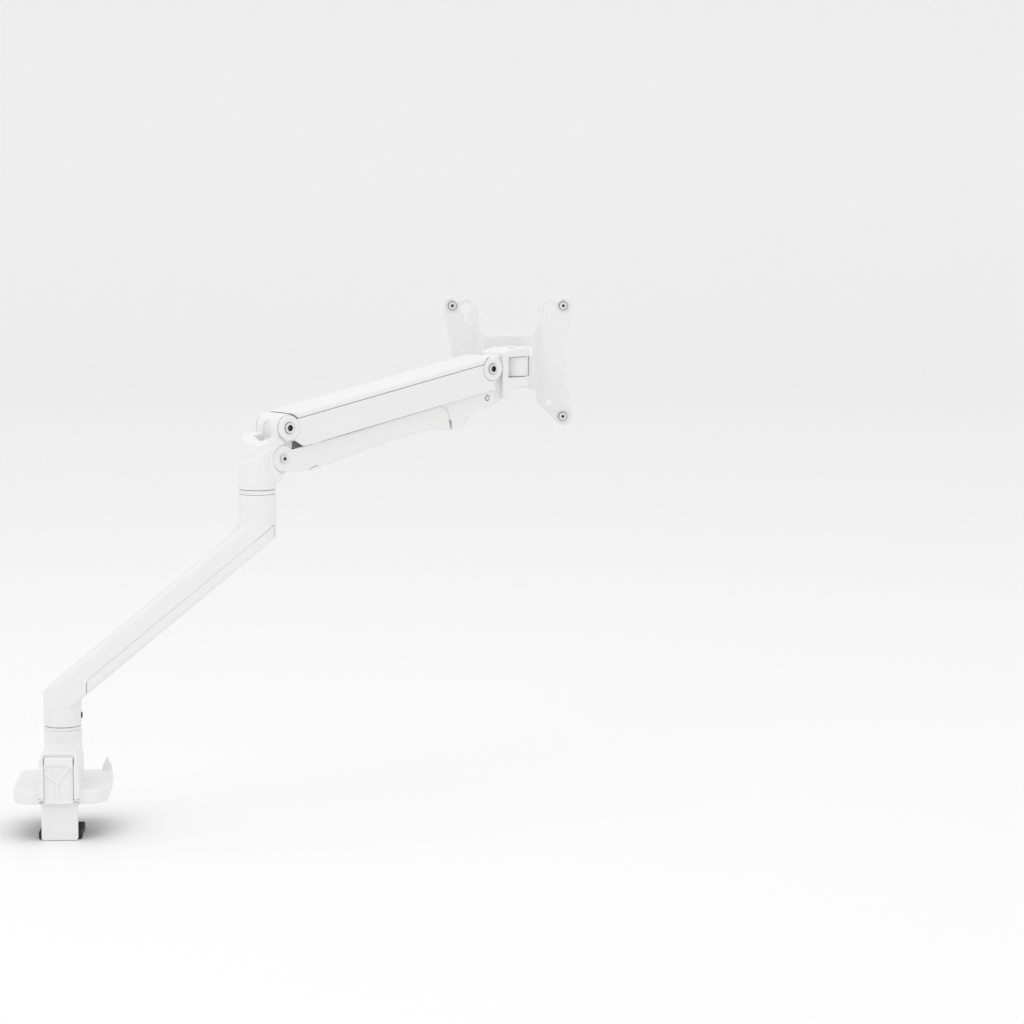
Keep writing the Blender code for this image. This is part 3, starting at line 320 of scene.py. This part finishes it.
def turned(profile, place=(0, 0, 0), axis="Z", sides=96):
    """A profile of (radius, height) points turned about an axis, joined up if off the axis."""
    shape = bmesh.new()
    rings = []
    for radius, height in profile:
        if radius == 0:
            rings.append([shape.verts.new(on_axis(axis, 0, 0, height))])
            continue
        rings.append([shape.verts.new(on_axis(axis, u, v, height))
                      for u, v in circle(0, 0, radius, sides)])
    pairs = list(zip(rings, rings[1:]))
    if profile[0][0] and profile[-1][0]:
        pairs.append((rings[-1], rings[0]))
    for first, second in pairs:
        for k in range(sides):
            n = (k + 1) % sides
            corners = [first[k % len(first)], first[n % len(first)], second[n % len(second)],
                       second[k % len(second)]]
            corners = list(dict.fromkeys(corners))
            if len(corners) > 2:
                shape.faces.new(corners)
    bmesh.ops.recalc_face_normals(shape, faces=shape.faces)
    bmesh.ops.translate(shape, vec=place, verts=shape.verts)
    return shape


def rod(radius, low, high, place=(0, 0, 0), axis="Z", sides=48):
    return turned([(0, low), (radius, low), (radius, high), (0, high)], place, axis, sides)


def rim_arc(radius, high, rim, steps=5):
    """A turned profile's points round the edge between its side and its top."""
    angles = (math.radians(90 / steps * k) for k in range(1, steps + 1))
    return [(radius - rim + rim * math.cos(a), high - rim + rim * math.sin(a)) for a in angles]


def moved(shape, matrix):
    bmesh.ops.transform(shape, matrix=matrix, verts=shape.verts)
    return shape


def together(shapes):
    """Several solids in one mesh, for a remesh to melt into one."""
    whole = bmesh.new()
    for shape in shapes:
        mesh = bpy.data.meshes.new("part")
        shape.to_mesh(mesh)
        shape.free()
        whole.from_mesh(mesh)
        bpy.data.meshes.remove(mesh)
    return whole


# --- pieces -----------------------------------------------------------------------

def plain_object(name, shape):
    mesh = bpy.data.meshes.new(name)
    shape.to_mesh(mesh)
    shape.free()
    item = bpy.data.objects.new(name, mesh)
    bpy.context.scene.collection.objects.link(item)
    return item


def apply_all(item):
    """Puts the result of an object's modifiers in its mesh."""
    graph = bpy.context.evaluated_depsgraph_get()
    graph.update()
    mesh = bpy.data.meshes.new_from_object(item.evaluated_get(graph))
    old = item.data
    item.modifiers.clear()
    item.data = mesh
    bpy.data.meshes.remove(old)


def boolean(item, shape, operation):
    helper = plain_object("helper", shape)
    step = item.modifiers.new(operation.lower(), "BOOLEAN")
    step.operation = operation
    step.solver = "EXACT"
    step.object = helper
    apply_all(item)
    bpy.data.objects.remove(helper)
    return item


def finish_piece(item, body, slot, nodes, sharp=32):
    """Smooth shading, its material, its body and the frame's nodes that it stands for."""
    item.data.transform(FRAMES[body])
    item.data.materials.clear()
    item.data.materials.append(MATERIALS[slot])
    item.data.shade_smooth()
    item.data.set_sharp_from_angle(angle=math.radians(sharp))
    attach(item, body)
    if nodes:
        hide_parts(*nodes)
    return item


def piece(name, shape, body, slot, nodes=(), cuts=(), sharp=32):
    item = plain_object(name, shape)
    for cutter in cuts:
        boolean(item, cutter, "DIFFERENCE")
    return finish_piece(item, body, slot, nodes, sharp=sharp)


def cad_shape(node, body):
    """A copy of a node's mesh in its body's own frame, welded."""
    shape = bmesh.new()
    shape.from_mesh(NODES[node].data)
    bmesh.ops.remove_doubles(shape, verts=shape.verts, dist=0.004 * MM)
    return moved(shape, FRAMES[body].inverted())


def casting(node, body, slot="white_paint", voxel=0.55, passes=8, extras=(), cuts=(),
            keep=0.35):
    """A cast piece: the node's solid with extra shapes melted in, its edges softened."""
    solid = cut_shape(cad_shape(node, body), cuts)
    item = plain_object(f"{node}_casting", together([solid, *extras]))
    remesh = item.modifiers.new("melt", "REMESH")
    remesh.mode = "VOXEL"
    remesh.voxel_size = voxel * MM
    smooth = item.modifiers.new("soften", "SMOOTH")
    smooth.factor = 0.5
    smooth.iterations = passes
    thin = item.modifiers.new("thin", "DECIMATE")
    thin.ratio = keep
    apply_all(item)
    return finish_piece(item, body, slot, [node], sharp=60)


def shape_of(item):
    """Takes an object's mesh back out as a shape."""
    shape = bmesh.new()
    shape.from_mesh(item.data)
    bpy.data.objects.remove(item)
    return shape


def cut_shape(shape, cutters):
    item = plain_object("cut", shape)
    for cutter in cutters:
        boolean(item, cutter, "DIFFERENCE")
    return shape_of(item)


def loft(outlines):
    """A closed skin through outlines of as many points, each given as (x, y, z) points."""
    shape = bmesh.new()
    rings = [[shape.verts.new(point) for point in outline] for outline in outlines]
    count = len(rings[0])
    for low, high in zip(rings, rings[1:]):
        for k in range(count):
            n = (k + 1) % count
            shape.faces.new((low[k], low[n], high[n], high[k]))
    shape.faces.new(rings[0][::-1])
    shape.faces.new(rings[-1])
    bmesh.ops.recalc_face_normals(shape, faces=shape.faces)
    return shape


def ease(value):
    """0 below 0, 1 above 1 and a smooth step between."""
    value = min(max(value, 0.0), 1.0)
    return value * value * (3 - 2 * value)


# --- the clamp --------------------------------------------------------------------

def plan(half_width, front, back, front_round, back_round):
    """The clamp's outline from above, with its own rounding at the front and the back."""
    return rounded([(-half_width, front, front_round), (half_width, front, front_round),
                    (half_width, back, back_round), (-half_width, back, back_round)],
                   PLAN_STEPS)


def bracket_room(front, low, back, high):
    """A cutter for the space behind the lever that the jaw's bracket slides in."""
    return box((-BRACKET_ROOM_HALF_WIDTH, front, low), (BRACKET_ROOM_HALF_WIDTH, back, high))


def housing():
    """The block in front of the post, with rounded shoulders and a finger slot over the lever."""
    half, low, top, shoulder = HOUSING_HALF_WIDTH, 34 * MM, HOUSING_TOP_Z, 6.5 * MM
    front = rounded([(-half, low), (half, low), (half, top, shoulder), (-half, top, shoulder)])
    block = prism(front, COLUMN_FRONT_Y, -8 * MM, "Y", 1.2 * MM)
    slot = box((-12.3 * MM, -60 * MM, 30 * MM), (12.3 * MM, COLUMN_FRONT_Y + 4.6 * MM, 43 * MM))
    room = bracket_room(-46.7 * MM, 30 * MM, BRACKET_ROOM_BACK_Y, 38.6 * MM)
    return cut_shape(block, [slot, room])


def post_flare():
    """The post's foot, sweeping out onto the housing's top."""
    radius, low = 5 * MM, HOUSING_TOP_Z - 1.2 * MM
    profile = [(0, 36 * MM), (POST_RADIUS, 36 * MM)]
    profile += [(POST_RADIUS + radius * (1 - math.sin(a)), low + radius * (1 - math.cos(a)))
                for a in (math.radians(9 * k) for k in range(11))]
    profile += [(0, low + radius)]
    side = box((-15.2 * MM, -40 * MM, 30 * MM), (15.2 * MM, 0, 60 * MM))
    item = plain_object("flare", turned(profile))
    return shape_of(boolean(item, side, "INTERSECT"))


def housing_trims():
    """What the frame's square block loses round the housing and the post."""
    half, far = HOUSING_HALF_WIDTH, 30 * MM
    trims = [box((low, -60 * MM, 17 * MM), (high, 60 * MM, 60 * MM))
             for low, high in ((-far, -half), (half, far))]
    trims.append(box((-far, -60 * MM, 34.5 * MM), (far, -16.5 * MM, 60 * MM)))
    behind = box((-far, -16.6 * MM, 35 * MM), (far, 40 * MM, 60 * MM))
    trims.append(cut_shape(behind, [rod(POST_RADIUS + 0.1 * MM, 30 * MM, 70 * MM, sides=96)]))
    return trims


def block_skirt():
    """Concave fillets from the block's sides down onto the foot."""
    radius = 5.5 * MM
    low = 11.4 * MM
    outline = plan(HOUSING_HALF_WIDTH - 0.4 * MM, FOOT_FRONT_Y + 1.5 * MM, 17 * MM, 3 * MM, 12 * MM)
    rings = []
    for k in range(9):
        angle = math.radians(90 * k / 8)
        out = radius * (1 - math.sin(angle)) + 0.01 * MM
        height = low + radius * (1 - math.cos(angle))
        rings.append([(x * (1 + out / COLUMN_HALF_WIDTH), y + (out * 0.9 if y > 0 else 0), height)
                      for x, y in outline])
    return cut_shape(loft(rings), [bracket_room(-60 * MM, 5 * MM, BRACKET_ROOM_BACK_Y, 40 * MM)])


def foot_rim():
    """The foot's edge, which comes down round its pad."""
    wall = 2 * MM
    outer = plan(FOOT_HALF_WIDTH, FOOT_FRONT_Y, FOOT_BACK_Y, 19 * MM, 9 * MM)
    inner = plan(FOOT_HALF_WIDTH - wall, FOOT_FRONT_Y + wall, FOOT_BACK_Y - wall, 17 * MM, 7 * MM)
    rim = prism(outer, 0.6 * MM, 4 * MM)
    slot = bracket_room(-60 * MM, -5 * MM, -40 * MM, 10 * MM)
    return cut_shape(rim, [prism(inner, -5 * MM, 10 * MM), slot])


def lever_relief(x, z):
    """How far the lever's front is cut back: a lip above a scoop split by a Y of ridges."""
    fork = Vector((-1.2 * MM, 15.5 * MM))
    ridges = (((-1.4 * MM, -4 * MM), fork), (fork, (11.5 * MM, 31 * MM)),
              (fork, (-12 * MM, 24.5 * MM)))
    lip_z, depth = 29.8 * MM, 1.9 * MM
    nearest = min(segment_distance(Vector((x, z)), Vector(a), Vector(b)) for a, b in ridges)
    ridge = 1 - ease((nearest - 0.3 * MM) / (2.2 * MM))
    side = 1 - ease((LEVER_HALF_WIDTH - abs(x) - 0.4 * MM) / (1.8 * MM))
    foot = 1 - ease((z - LEVER_BOTTOM_Z - 1 * MM) / (3 * MM))
    under_lip = ease((lip_z - z) / (1.2 * MM))
    scoop = depth * under_lip * (1 - max(ridge, side, foot))
    rim = min(LEVER_HALF_WIDTH - abs(x), LEVER_TOP_Z - z, z - LEVER_BOTTOM_Z)
    radius = 0.9 * MM
    if rim < radius:
        scoop += radius - math.sqrt(max(radius ** 2 - (radius - rim) ** 2, 0))
    return scoop


def segment_distance(point, start, end):
    edge = end - start
    part = min(max((point - start).dot(edge) / edge.length_squared, 0), 1)
    return (point - start - edge * part).length


def lever_shape():
    """A slab whose front is a fine grid in relief and whose back is flat."""
    columns, rows = 92, 150
    shape = bmesh.new()
    front, back = [], []
    for j in range(rows + 1):
        z = LEVER_BOTTOM_Z + (LEVER_TOP_Z - LEVER_BOTTOM_Z) * j / rows
        front.append([])
        back.append([])
        for i in range(columns + 1):
            x = LEVER_HALF_WIDTH * (2 * i / columns - 1)
            front[-1].append(shape.verts.new((x, LEVER_FRONT_Y + lever_relief(x, z), z)))
            back[-1].append(shape.verts.new((x, LEVER_BACK_Y, z)))
    for j in range(rows):
        for i in range(columns):
            shape.faces.new((front[j][i], front[j][i + 1], front[j + 1][i + 1], front[j + 1][i]))
            shape.faces.new((back[j][i], back[j + 1][i], back[j + 1][i + 1], back[j][i + 1]))
    for j in range(rows):
        shape.faces.new((front[j][0], front[j + 1][0], back[j + 1][0], back[j][0]))
        shape.faces.new((front[j][-1], back[j][-1], back[j + 1][-1], front[j + 1][-1]))
    for i in range(columns):
        shape.faces.new((front[0][i], back[0][i], back[0][i + 1], front[0][i + 1]))
        shape.faces.new((front[-1][i], front[-1][i + 1], back[-1][i + 1], back[-1][i]))
    bmesh.ops.recalc_face_normals(shape, faces=shape.faces)
    return shape


def clamp_pieces():
    casting("clamp_body", "clamp", cuts=housing_trims(),
            extras=[housing(), post_flare(), block_skirt(), foot_rim()])
    outline = plan(FOOT_HALF_WIDTH - PAD_INSET, -41.6 * MM, FOOT_BACK_Y - PAD_INSET, 15 * MM,
                   6.5 * MM)
    pad = prism(outline, 0, 2 * MM, "Z", 0.3 * MM)
    piece("foot_pad_moulding", pad, "clamp", "black_rubber", ["foot_pad"])
    piece("clamp_lever_moulding", lever_shape(), "lever", "white_paint", ["clamp_lever"], sharp=50)
    casting("jaw_bracket", "jaw")
    casting("jaw_block", "jaw", "black_rubber")


# --- turned pieces ----------------------------------------------------------------

def side_turn(place, sign):
    """Turns a shape drawn outward along +Y to the near side (-1) or the far side (1)."""
    turn = Matrix.Translation(place)
    return turn if sign > 0 else turn @ Matrix.Rotation(math.pi, 4, "Z")


def paint_screw_shade(item, radius, turn, low, rim):
    """Gives the faces inside a key socket, and any beyond the rim, the dark steel as painted shade in place of the
    real shadow there.
    """
    # the dark steel here is painted shade, not a finish of the screw
    item.data.materials.append(MATERIALS["dark_steel"])
    back = turn.inverted()
    for face in item.data.polygons:
        here = back @ face.center
        reach = math.hypot(here.x, here.z)
        # faces down in the socket, or beyond the rim, get the painted shade
        if reach > rim or (reach < radius and here.y < low):
            face.material_index = 1


def screw(name, body, turn, radius, low, high, key, nodes, shank=(1.6 * MM, -3 * MM), rim=1.0):
    """A turned screw head with a hexagon socket, with painted shade inside it and beyond the rim."""
    round_off, dish = 0.35 * MM, 0.12 * MM
    profile = [(0, shank[1]), (shank[0], shank[1]), (shank[0], low), (radius, low),
               (radius, high - round_off)]
    profile += rim_arc(radius, high, round_off)
    profile += [(key * 0.5 + 0.9 * MM, high), (key * 0.5 + 0.45 * MM, high - dish),
                (0, high - dish)]
    item = plain_object(name, turned(profile, axis="Y"))
    depth = min(1.6 * MM, high - low - 0.3 * MM)
    corner = key / math.sqrt(3)
    socket = prism(circle(0, 0, corner, 6), high - depth, high + 1 * MM, "Y")
    boolean(item, socket, "DIFFERENCE")
    item.data.transform(turn)
    finish_piece(item, body, "zinc", nodes, sharp=35)
    # painted shade in the key socket and beyond the rim
    paint_screw_shade(item, corner + 0.02 * MM, FRAMES[body] @ turn, high - 0.2 * MM, rim)
    return item


def pivot_sets():
    """The caps and screws at both ends of the upper link's two axles."""
    for joint, x in (("lift", 0), ("wrist", LINK_LENGTH)):
        for side, sign in (("near", -1), ("far", 1)):
            turn = side_turn((x, 0, 0), sign)
            rim = 0.5 * MM
            low, high = CAP_INNER_Y, CAP_OUTER_Y
            profile = [(CAP_BORE, low), (CAP_RADIUS, low), (CAP_RADIUS, high - rim)]
            profile += rim_arc(CAP_RADIUS, high, rim)
            profile += [(6 * MM, high), (5.5 * MM, high - 0.3 * MM), (CAP_BORE, high - 0.5 * MM)]
            piece(f"{joint}_cap_{side}_disc", moved(turned(profile, axis="Y"), turn), "upper_link",
                  "white_plastic", [f"{joint}_cap_{side}"])
            screw(f"{joint}_socket_screw_{side}", "upper_link", turn, 4.6 * MM, CAP_INNER_Y,
                  18.2 * MM, 5 * MM, [f"{joint}_screw_{side}"])


def lower_screws():
    """The lower link's screws at the elbow and its pins at the wrist."""
    for side, sign in (("near", -1), ("far", 1)):
        screw(f"lower_socket_screw_{side}", "lower_link", side_turn((0, 0, 0), sign), 3.75 * MM,
              14.2 * MM, 15.5 * MM, 2.9 * MM, [f"lower_screw_{side}"])
        turn = side_turn((LINK_LENGTH, 0, 0), sign)
        pin = turned([(0, 4 * MM), (2.4 * MM, 4 * MM), (2.4 * MM, 12.6 * MM), (1.9 * MM, 12.7 * MM),
                      (1.9 * MM, 13.9 * MM), (1.7 * MM, 14.1 * MM), (0, 14.1 * MM)], axis="Y")
        piece(f"wrist_pin_{side}_turned", moved(pin, turn), "lower_link", "zinc",
              [f"wrist_pin_{side}"])


def plate_screws():
    """The monitor's four screws, their heads on the front of the plate's legs."""
    head = -LEG_FRONT_Y
    for x, across in ((-1, "left"), (1, "right")):
        for z, level in ((-1, "lower"), (1, "upper")):
            place = (x * BOLT_HALF_SQUARE, 0, z * BOLT_HALF_SQUARE)
            name = f"vesa_screw_{level}_{across}"
            # each head is painted dark beyond 2.9 mm as a painted shadow ring round it
            screw(f"{name}_head", "plate", side_turn(place, -1), 3.85 * MM, head + 0.3 * MM,
                  head + 2.4 * MM, 2.6 * MM, [name], (1.9 * MM, head - 7 * MM), 2.9 * MM)


def ribbed_ring(radius, low, high):
    """A ring with fine upright ribs round its outside."""
    outline = []
    points = RING_RIBS * 4
    for k in range(points):
        inset = RIB_DEPTH if k % 4 in (0, 1) else 0
        angle = math.tau * k / points
        outline.append(((radius - inset) * math.cos(angle), (radius - inset) * math.sin(angle)))
    return cut_shape(prism(outline, low, high), [rod(RING_BORE, low - 1 * MM, high + 1 * MM)])


def rings():
    piece("base_ring_ribbed", ribbed_ring(15.3 * MM, 55.6 * MM, 58.4 * MM), "clamp",
          "white_plastic", ["base_ring"], sharp=40)
    piece("elbow_ring_ribbed", ribbed_ring(15.2 * MM, 252.3 * MM, 255.7 * MM), "knuckle",
          "white_plastic", ["elbow_ring"], sharp=40)


def tilt_cap():
    """The bracket's end cap: hollow round the nut, with a shallow round panel outside."""
    radius, low, high = 15.5 * MM, 15.9 * MM, 19.6 * MM
    rim, hollow, roof, panel = 1.1 * MM, 7.4 * MM, 18.6 * MM, 0.25 * MM
    profile = [(hollow, low), (radius, low), (radius, high - rim)]
    profile += rim_arc(radius, high, rim, 6)
    profile += [(9 * MM, high), (8.6 * MM, high - panel), (0, high - panel), (0, roof),
                (hollow, roof)]
    piece("tilt_cap_moulding", turned(profile, axis="X"), "tilt_head", "white_plastic",
          ["tilt_cap"])


def spring():
    """An open coil, its pitch a little closer at both ends."""
    first, last, turns, coil, wire = 44 * MM, 168 * MM, 15, 7.2 * MM, 1.1 * MM
    per_turn, sides = 36, 14
    count = turns * per_turn + 1
    line = []
    for k in range(count):
        part = k / (count - 1)
        spread = ease(part) * 0.35 + part * 0.65
        angle = math.tau * turns * part
        x = first + wire + (last - first - 2 * wire) * spread
        line.append(Vector((x, coil * math.cos(angle), SPRING_Z + coil * math.sin(angle))))
    outlines = []
    for k, here in enumerate(line):
        along = (line[min(k + 1, count - 1)] - line[max(k - 1, 0)]).normalized()
        out = Vector((0, here.y, here.z - SPRING_Z)).normalized()
        up = along.cross(out).normalized()
        outlines.append([here + wire * (out * math.cos(a) + up * math.sin(a))
                         for a in (math.tau * m / sides for m in range(sides))])
    piece("counter_spring_coil", loft(outlines), "upper_link", "zinc", ["counter_spring"], sharp=60)


# --- links ------------------------------------------------------------------------

def seam_backing():
    """A filler behind the cable cover's seam, so that no deep black line shows there."""
    half, low, high, corner = 14.9 * MM, 4 * MM, 20 * MM, 2 * MM
    section = rounded([(-half, low, corner), (half, low, corner), (half, high, corner),
                       (-half, high, corner)])
    turn = (Matrix.Translation((BEAM_START[0], 0, BEAM_START[1]))
            @ Matrix.Rotation(-BEAM_SLOPE, 4, "Y"))
    piece("lower_cover_tongue", moved(prism(section, 14 * MM, 196 * MM, "X"), turn), "lower_arm",
          "white_plastic")


def trough_side():
    """The side view of the trough cover's wall, up to its rounded end near the wrist."""
    return rounded([(26.5 * MM, -16.4 * MM), (26.5 * MM, 4.6 * MM, 2 * MM),
                    (170.5 * MM, 5.4 * MM, 4 * MM), (177 * MM, 0.4 * MM, 5 * MM),
                    (178.6 * MM, -9 * MM, 2 * MM), (178.2 * MM, -17 * MM),
                    (176.6 * MM, -18.4 * MM), (166 * MM, -12.5 * MM), (110 * MM, -12.3 * MM)])


def tapered(side_view, sign, inner, outer):
    """A side view's slab between two depths, its inner face running out at the elbow end."""
    low, high = sorted((sign * 8 * MM, sign * 20 * MM))
    start, full, end, beyond = 20 * MM, 70 * MM, 220 * MM, outer + 0.05 * MM
    plan_view = [(start, sign * outer), (full, sign * inner), (end, sign * inner),
                 (end, sign * beyond), (start, sign * beyond)]
    item = plain_object("slab", prism(side_view, low, high, "Y"))
    return shape_of(boolean(item, prism(plan_view, -40 * MM, 20 * MM, "Z"), "INTERSECT"))


def trough():
    """The lower link with a step round the trough cover, and the cover's walls in that step."""
    room = [(21 * MM, -30 * MM), (21 * MM, 5.2 * MM), (170.8 * MM, 6.4 * MM), (176 * MM, 4.4 * MM),
            (178.6 * MM, 0.4 * MM), (180 * MM, -9 * MM), (179.6 * MM, -30 * MM)]
    cuts = [tapered(room, sign, 12.8 * MM, 14.1 * MM) for sign in (-1, 1)]
    casting("lower_link", "lower_link", voxel=0.42, passes=3, cuts=cuts, keep=0.3)
    walls = [tapered(trough_side(), sign, 12.95 * MM, 13.95 * MM) for sign in (-1, 1)]
    casting("cable_trough_cover", "lower_link", "white_plastic", voxel=0.36, passes=2, extras=walls,
            keep=0.3)


def spring_seats():
    """The spring's seat and slider: pressed blocks with rounded corners."""
    half, bottom, top, corner = 9 * MM, -14 * MM, 2 * MM, 3 * MM
    outline = rounded([(-half, bottom, corner), (half, bottom, corner), (half, top, corner),
                       (-half, top, corner)])
    for name, low in (("spring_seat", 38 * MM), ("spring_slider", 169.5 * MM)):
        block = prism(outline, low, low + 4.5 * MM, "X", 0.7 * MM)
        bore = rod(2.7 * MM, low - 1 * MM, low + 6 * MM, (0, 0, SPRING_Z), "X")
        piece(f"{name}_block", block, "upper_link", "zinc", [name], cuts=[bore])


# --- head -------------------------------------------------------------------------

def bend_fillets():
    """Concave corners where the plate's bridge runs up and down into its legs."""
    front, back = BRIDGE_FRONT_Y, BRIDGE_FRONT_Y + PLATE_SHEET
    leg_back = LEG_FRONT_Y + PLATE_SHEET
    radius, inner_x, outer_x, edge_z = 11 * MM, 16 * MM, 29 * MM, 23.4 * MM
    fillets = []
    for x in (-1, 1):
        for z in (-1, 1):
            bend = [(x * 12 * MM, front), (x * 22.5 * MM, front), (x * outer_x, LEG_FRONT_Y),
                    (x * outer_x, leg_back), (x * 26.6 * MM, leg_back), (x * 20.5 * MM, back),
                    (x * 12 * MM, back)]
            corner = [(x * outer_x, z * 22 * MM), (x * inner_x, z * 22 * MM)]
            corner += [(x * (inner_x + radius * math.sin(a)),
                        z * (edge_z + radius * (1 - math.cos(a))))
                       for a in (math.radians(9 * k) for k in range(11))]
            corner.append((x * outer_x, z * (edge_z + radius)))
            item = plain_object("fillet", prism(bend, -40 * MM, 40 * MM))
            fillets.append(shape_of(boolean(item, prism(corner, 0, 60 * MM, "Y"), "INTERSECT")))
    return fillets


def head():
    """The bracket's roll disc is trimmed to the size of its ears, and its washer with it."""
    rim = cut_shape(box((-25 * MM, 15.8 * MM, -25 * MM), (25 * MM, 19 * MM, 25 * MM)),
                    [rod(HUB_RADIUS, 0, 30 * MM, axis="Y", sides=96)])
    casting("tilt_bracket", "tilt_head", voxel=0.45, passes=5, cuts=[rim])
    radius, front, back = HUB_RADIUS - 0.6 * MM, 18.8 * MM, 20.3 * MM
    washer = turned([(ROLL_BORE, front), (radius, front), (radius, back), (ROLL_BORE, back)],
                    axis="Y")
    piece("roll_washer_disc", washer, "tilt_head", "white_plastic", ["roll_washer"])
    casting("vesa_plate", "plate", voxel=0.5, passes=4, extras=bend_fillets())


# --- the arm ----------------------------------------------------------------------

def castings():
    """The cast and moulded pieces, finer where a seam or an edge shows."""
    casting("lower_arm", "lower_arm", voxel=0.36, passes=12, keep=0.17)
    casting("lower_cable_cover", "lower_arm", "white_plastic", voxel=0.36, passes=6, keep=0.2)
    casting("knuckle", "knuckle")
    casting("upper_link", "upper_link", voxel=0.45, passes=4)
    casting("upper_top_cover", "upper_link", "white_plastic")
    trough()
    casting("wrist_link", "wrist")
    casting("pan_barrel", "pan_head")
    head()


# --- studio -----------------------------------------------------------------------

def studio():
    lowest = min(corner[2] for corner in CAD_BOX)
    floor = plain_object("studio_floor", backdrop(lowest - 0.2 * MM))
    floor.data.materials.append(new_material("pale_floor", (FLOOR_TONE,) * 3, 0.6))
    floor.data.shade_smooth()
    for light in LIGHTS:
        area_light(*light)
    world = bpy.data.worlds.new("studio")
    world.use_nodes = True
    world.node_tree.nodes["Background"].inputs["Color"].default_value = (1, 1, 1, 1)
    world.node_tree.nodes["Background"].inputs["Strength"].default_value = WORLD_STRENGTH
    bpy.context.scene.world = world
    bpy.context.scene.view_settings.view_transform = "Standard"


def backdrop(floor_z):
    """A floor that curves up into a wall far behind."""
    shape = bmesh.new()
    near, far, radius, height, half = -4.0, 5.0, 1.5, 4.0, 7.0
    side = [(near, floor_z), *arc(far, floor_z + radius, radius, -90, 0),
            (far + radius, height)]
    rows = [[shape.verts.new((x, y, z)) for y, z in side] for x in (-half, half)]
    for k in range(len(side) - 1):
        shape.faces.new((rows[0][k], rows[1][k], rows[1][k + 1], rows[0][k + 1]))
    return shape


def area_light(name, place, target, size, power):
    light = bpy.data.lights.new(name, "AREA")
    light.shape = "DISK"
    light.size = size
    light.energy = power
    item = bpy.data.objects.new(name, light)
    item.location = place
    item.rotation_euler = (Vector(target) - Vector(place)).to_track_quat("-Z", "Y").to_euler()
    bpy.context.scene.collection.objects.link(item)


def camera():
    data = bpy.data.cameras.new("camera")
    data.lens = CAMERA_LENS
    data.sensor_width = CAMERA_SENSOR
    data.clip_end = CAMERA_REACH
    item = bpy.data.objects.new("camera", data)
    item.location = CAMERA_PLACE
    turn = (Matrix.Rotation(-CAMERA_YAW, 4, "Z")
            @ Matrix.Rotation(math.pi / 2 + CAMERA_PITCH, 4, "X")
            @ Matrix.Rotation(CAMERA_ROLL, 4, "Z"))
    item.rotation_euler = turn.to_euler()
    bpy.context.scene.collection.objects.link(item)
    bpy.context.scene.camera = item


def carried_over():
    """Every node of the frame gets its slot's finished material, to show where it stays."""
    slots = {part["node"]: part["material_slot"] for part in frame["record"]["subparts"]}
    for name, node in NODES.items():
        node.data.materials.clear()
        node.data.materials.append(MATERIALS[slots[name]])


camera()
carried_over()
clamp_pieces()
castings()
seam_backing()
pivot_sets()
lower_screws()
plate_screws()
rings()
tilt_cap()
spring()
spring_seats()
studio()
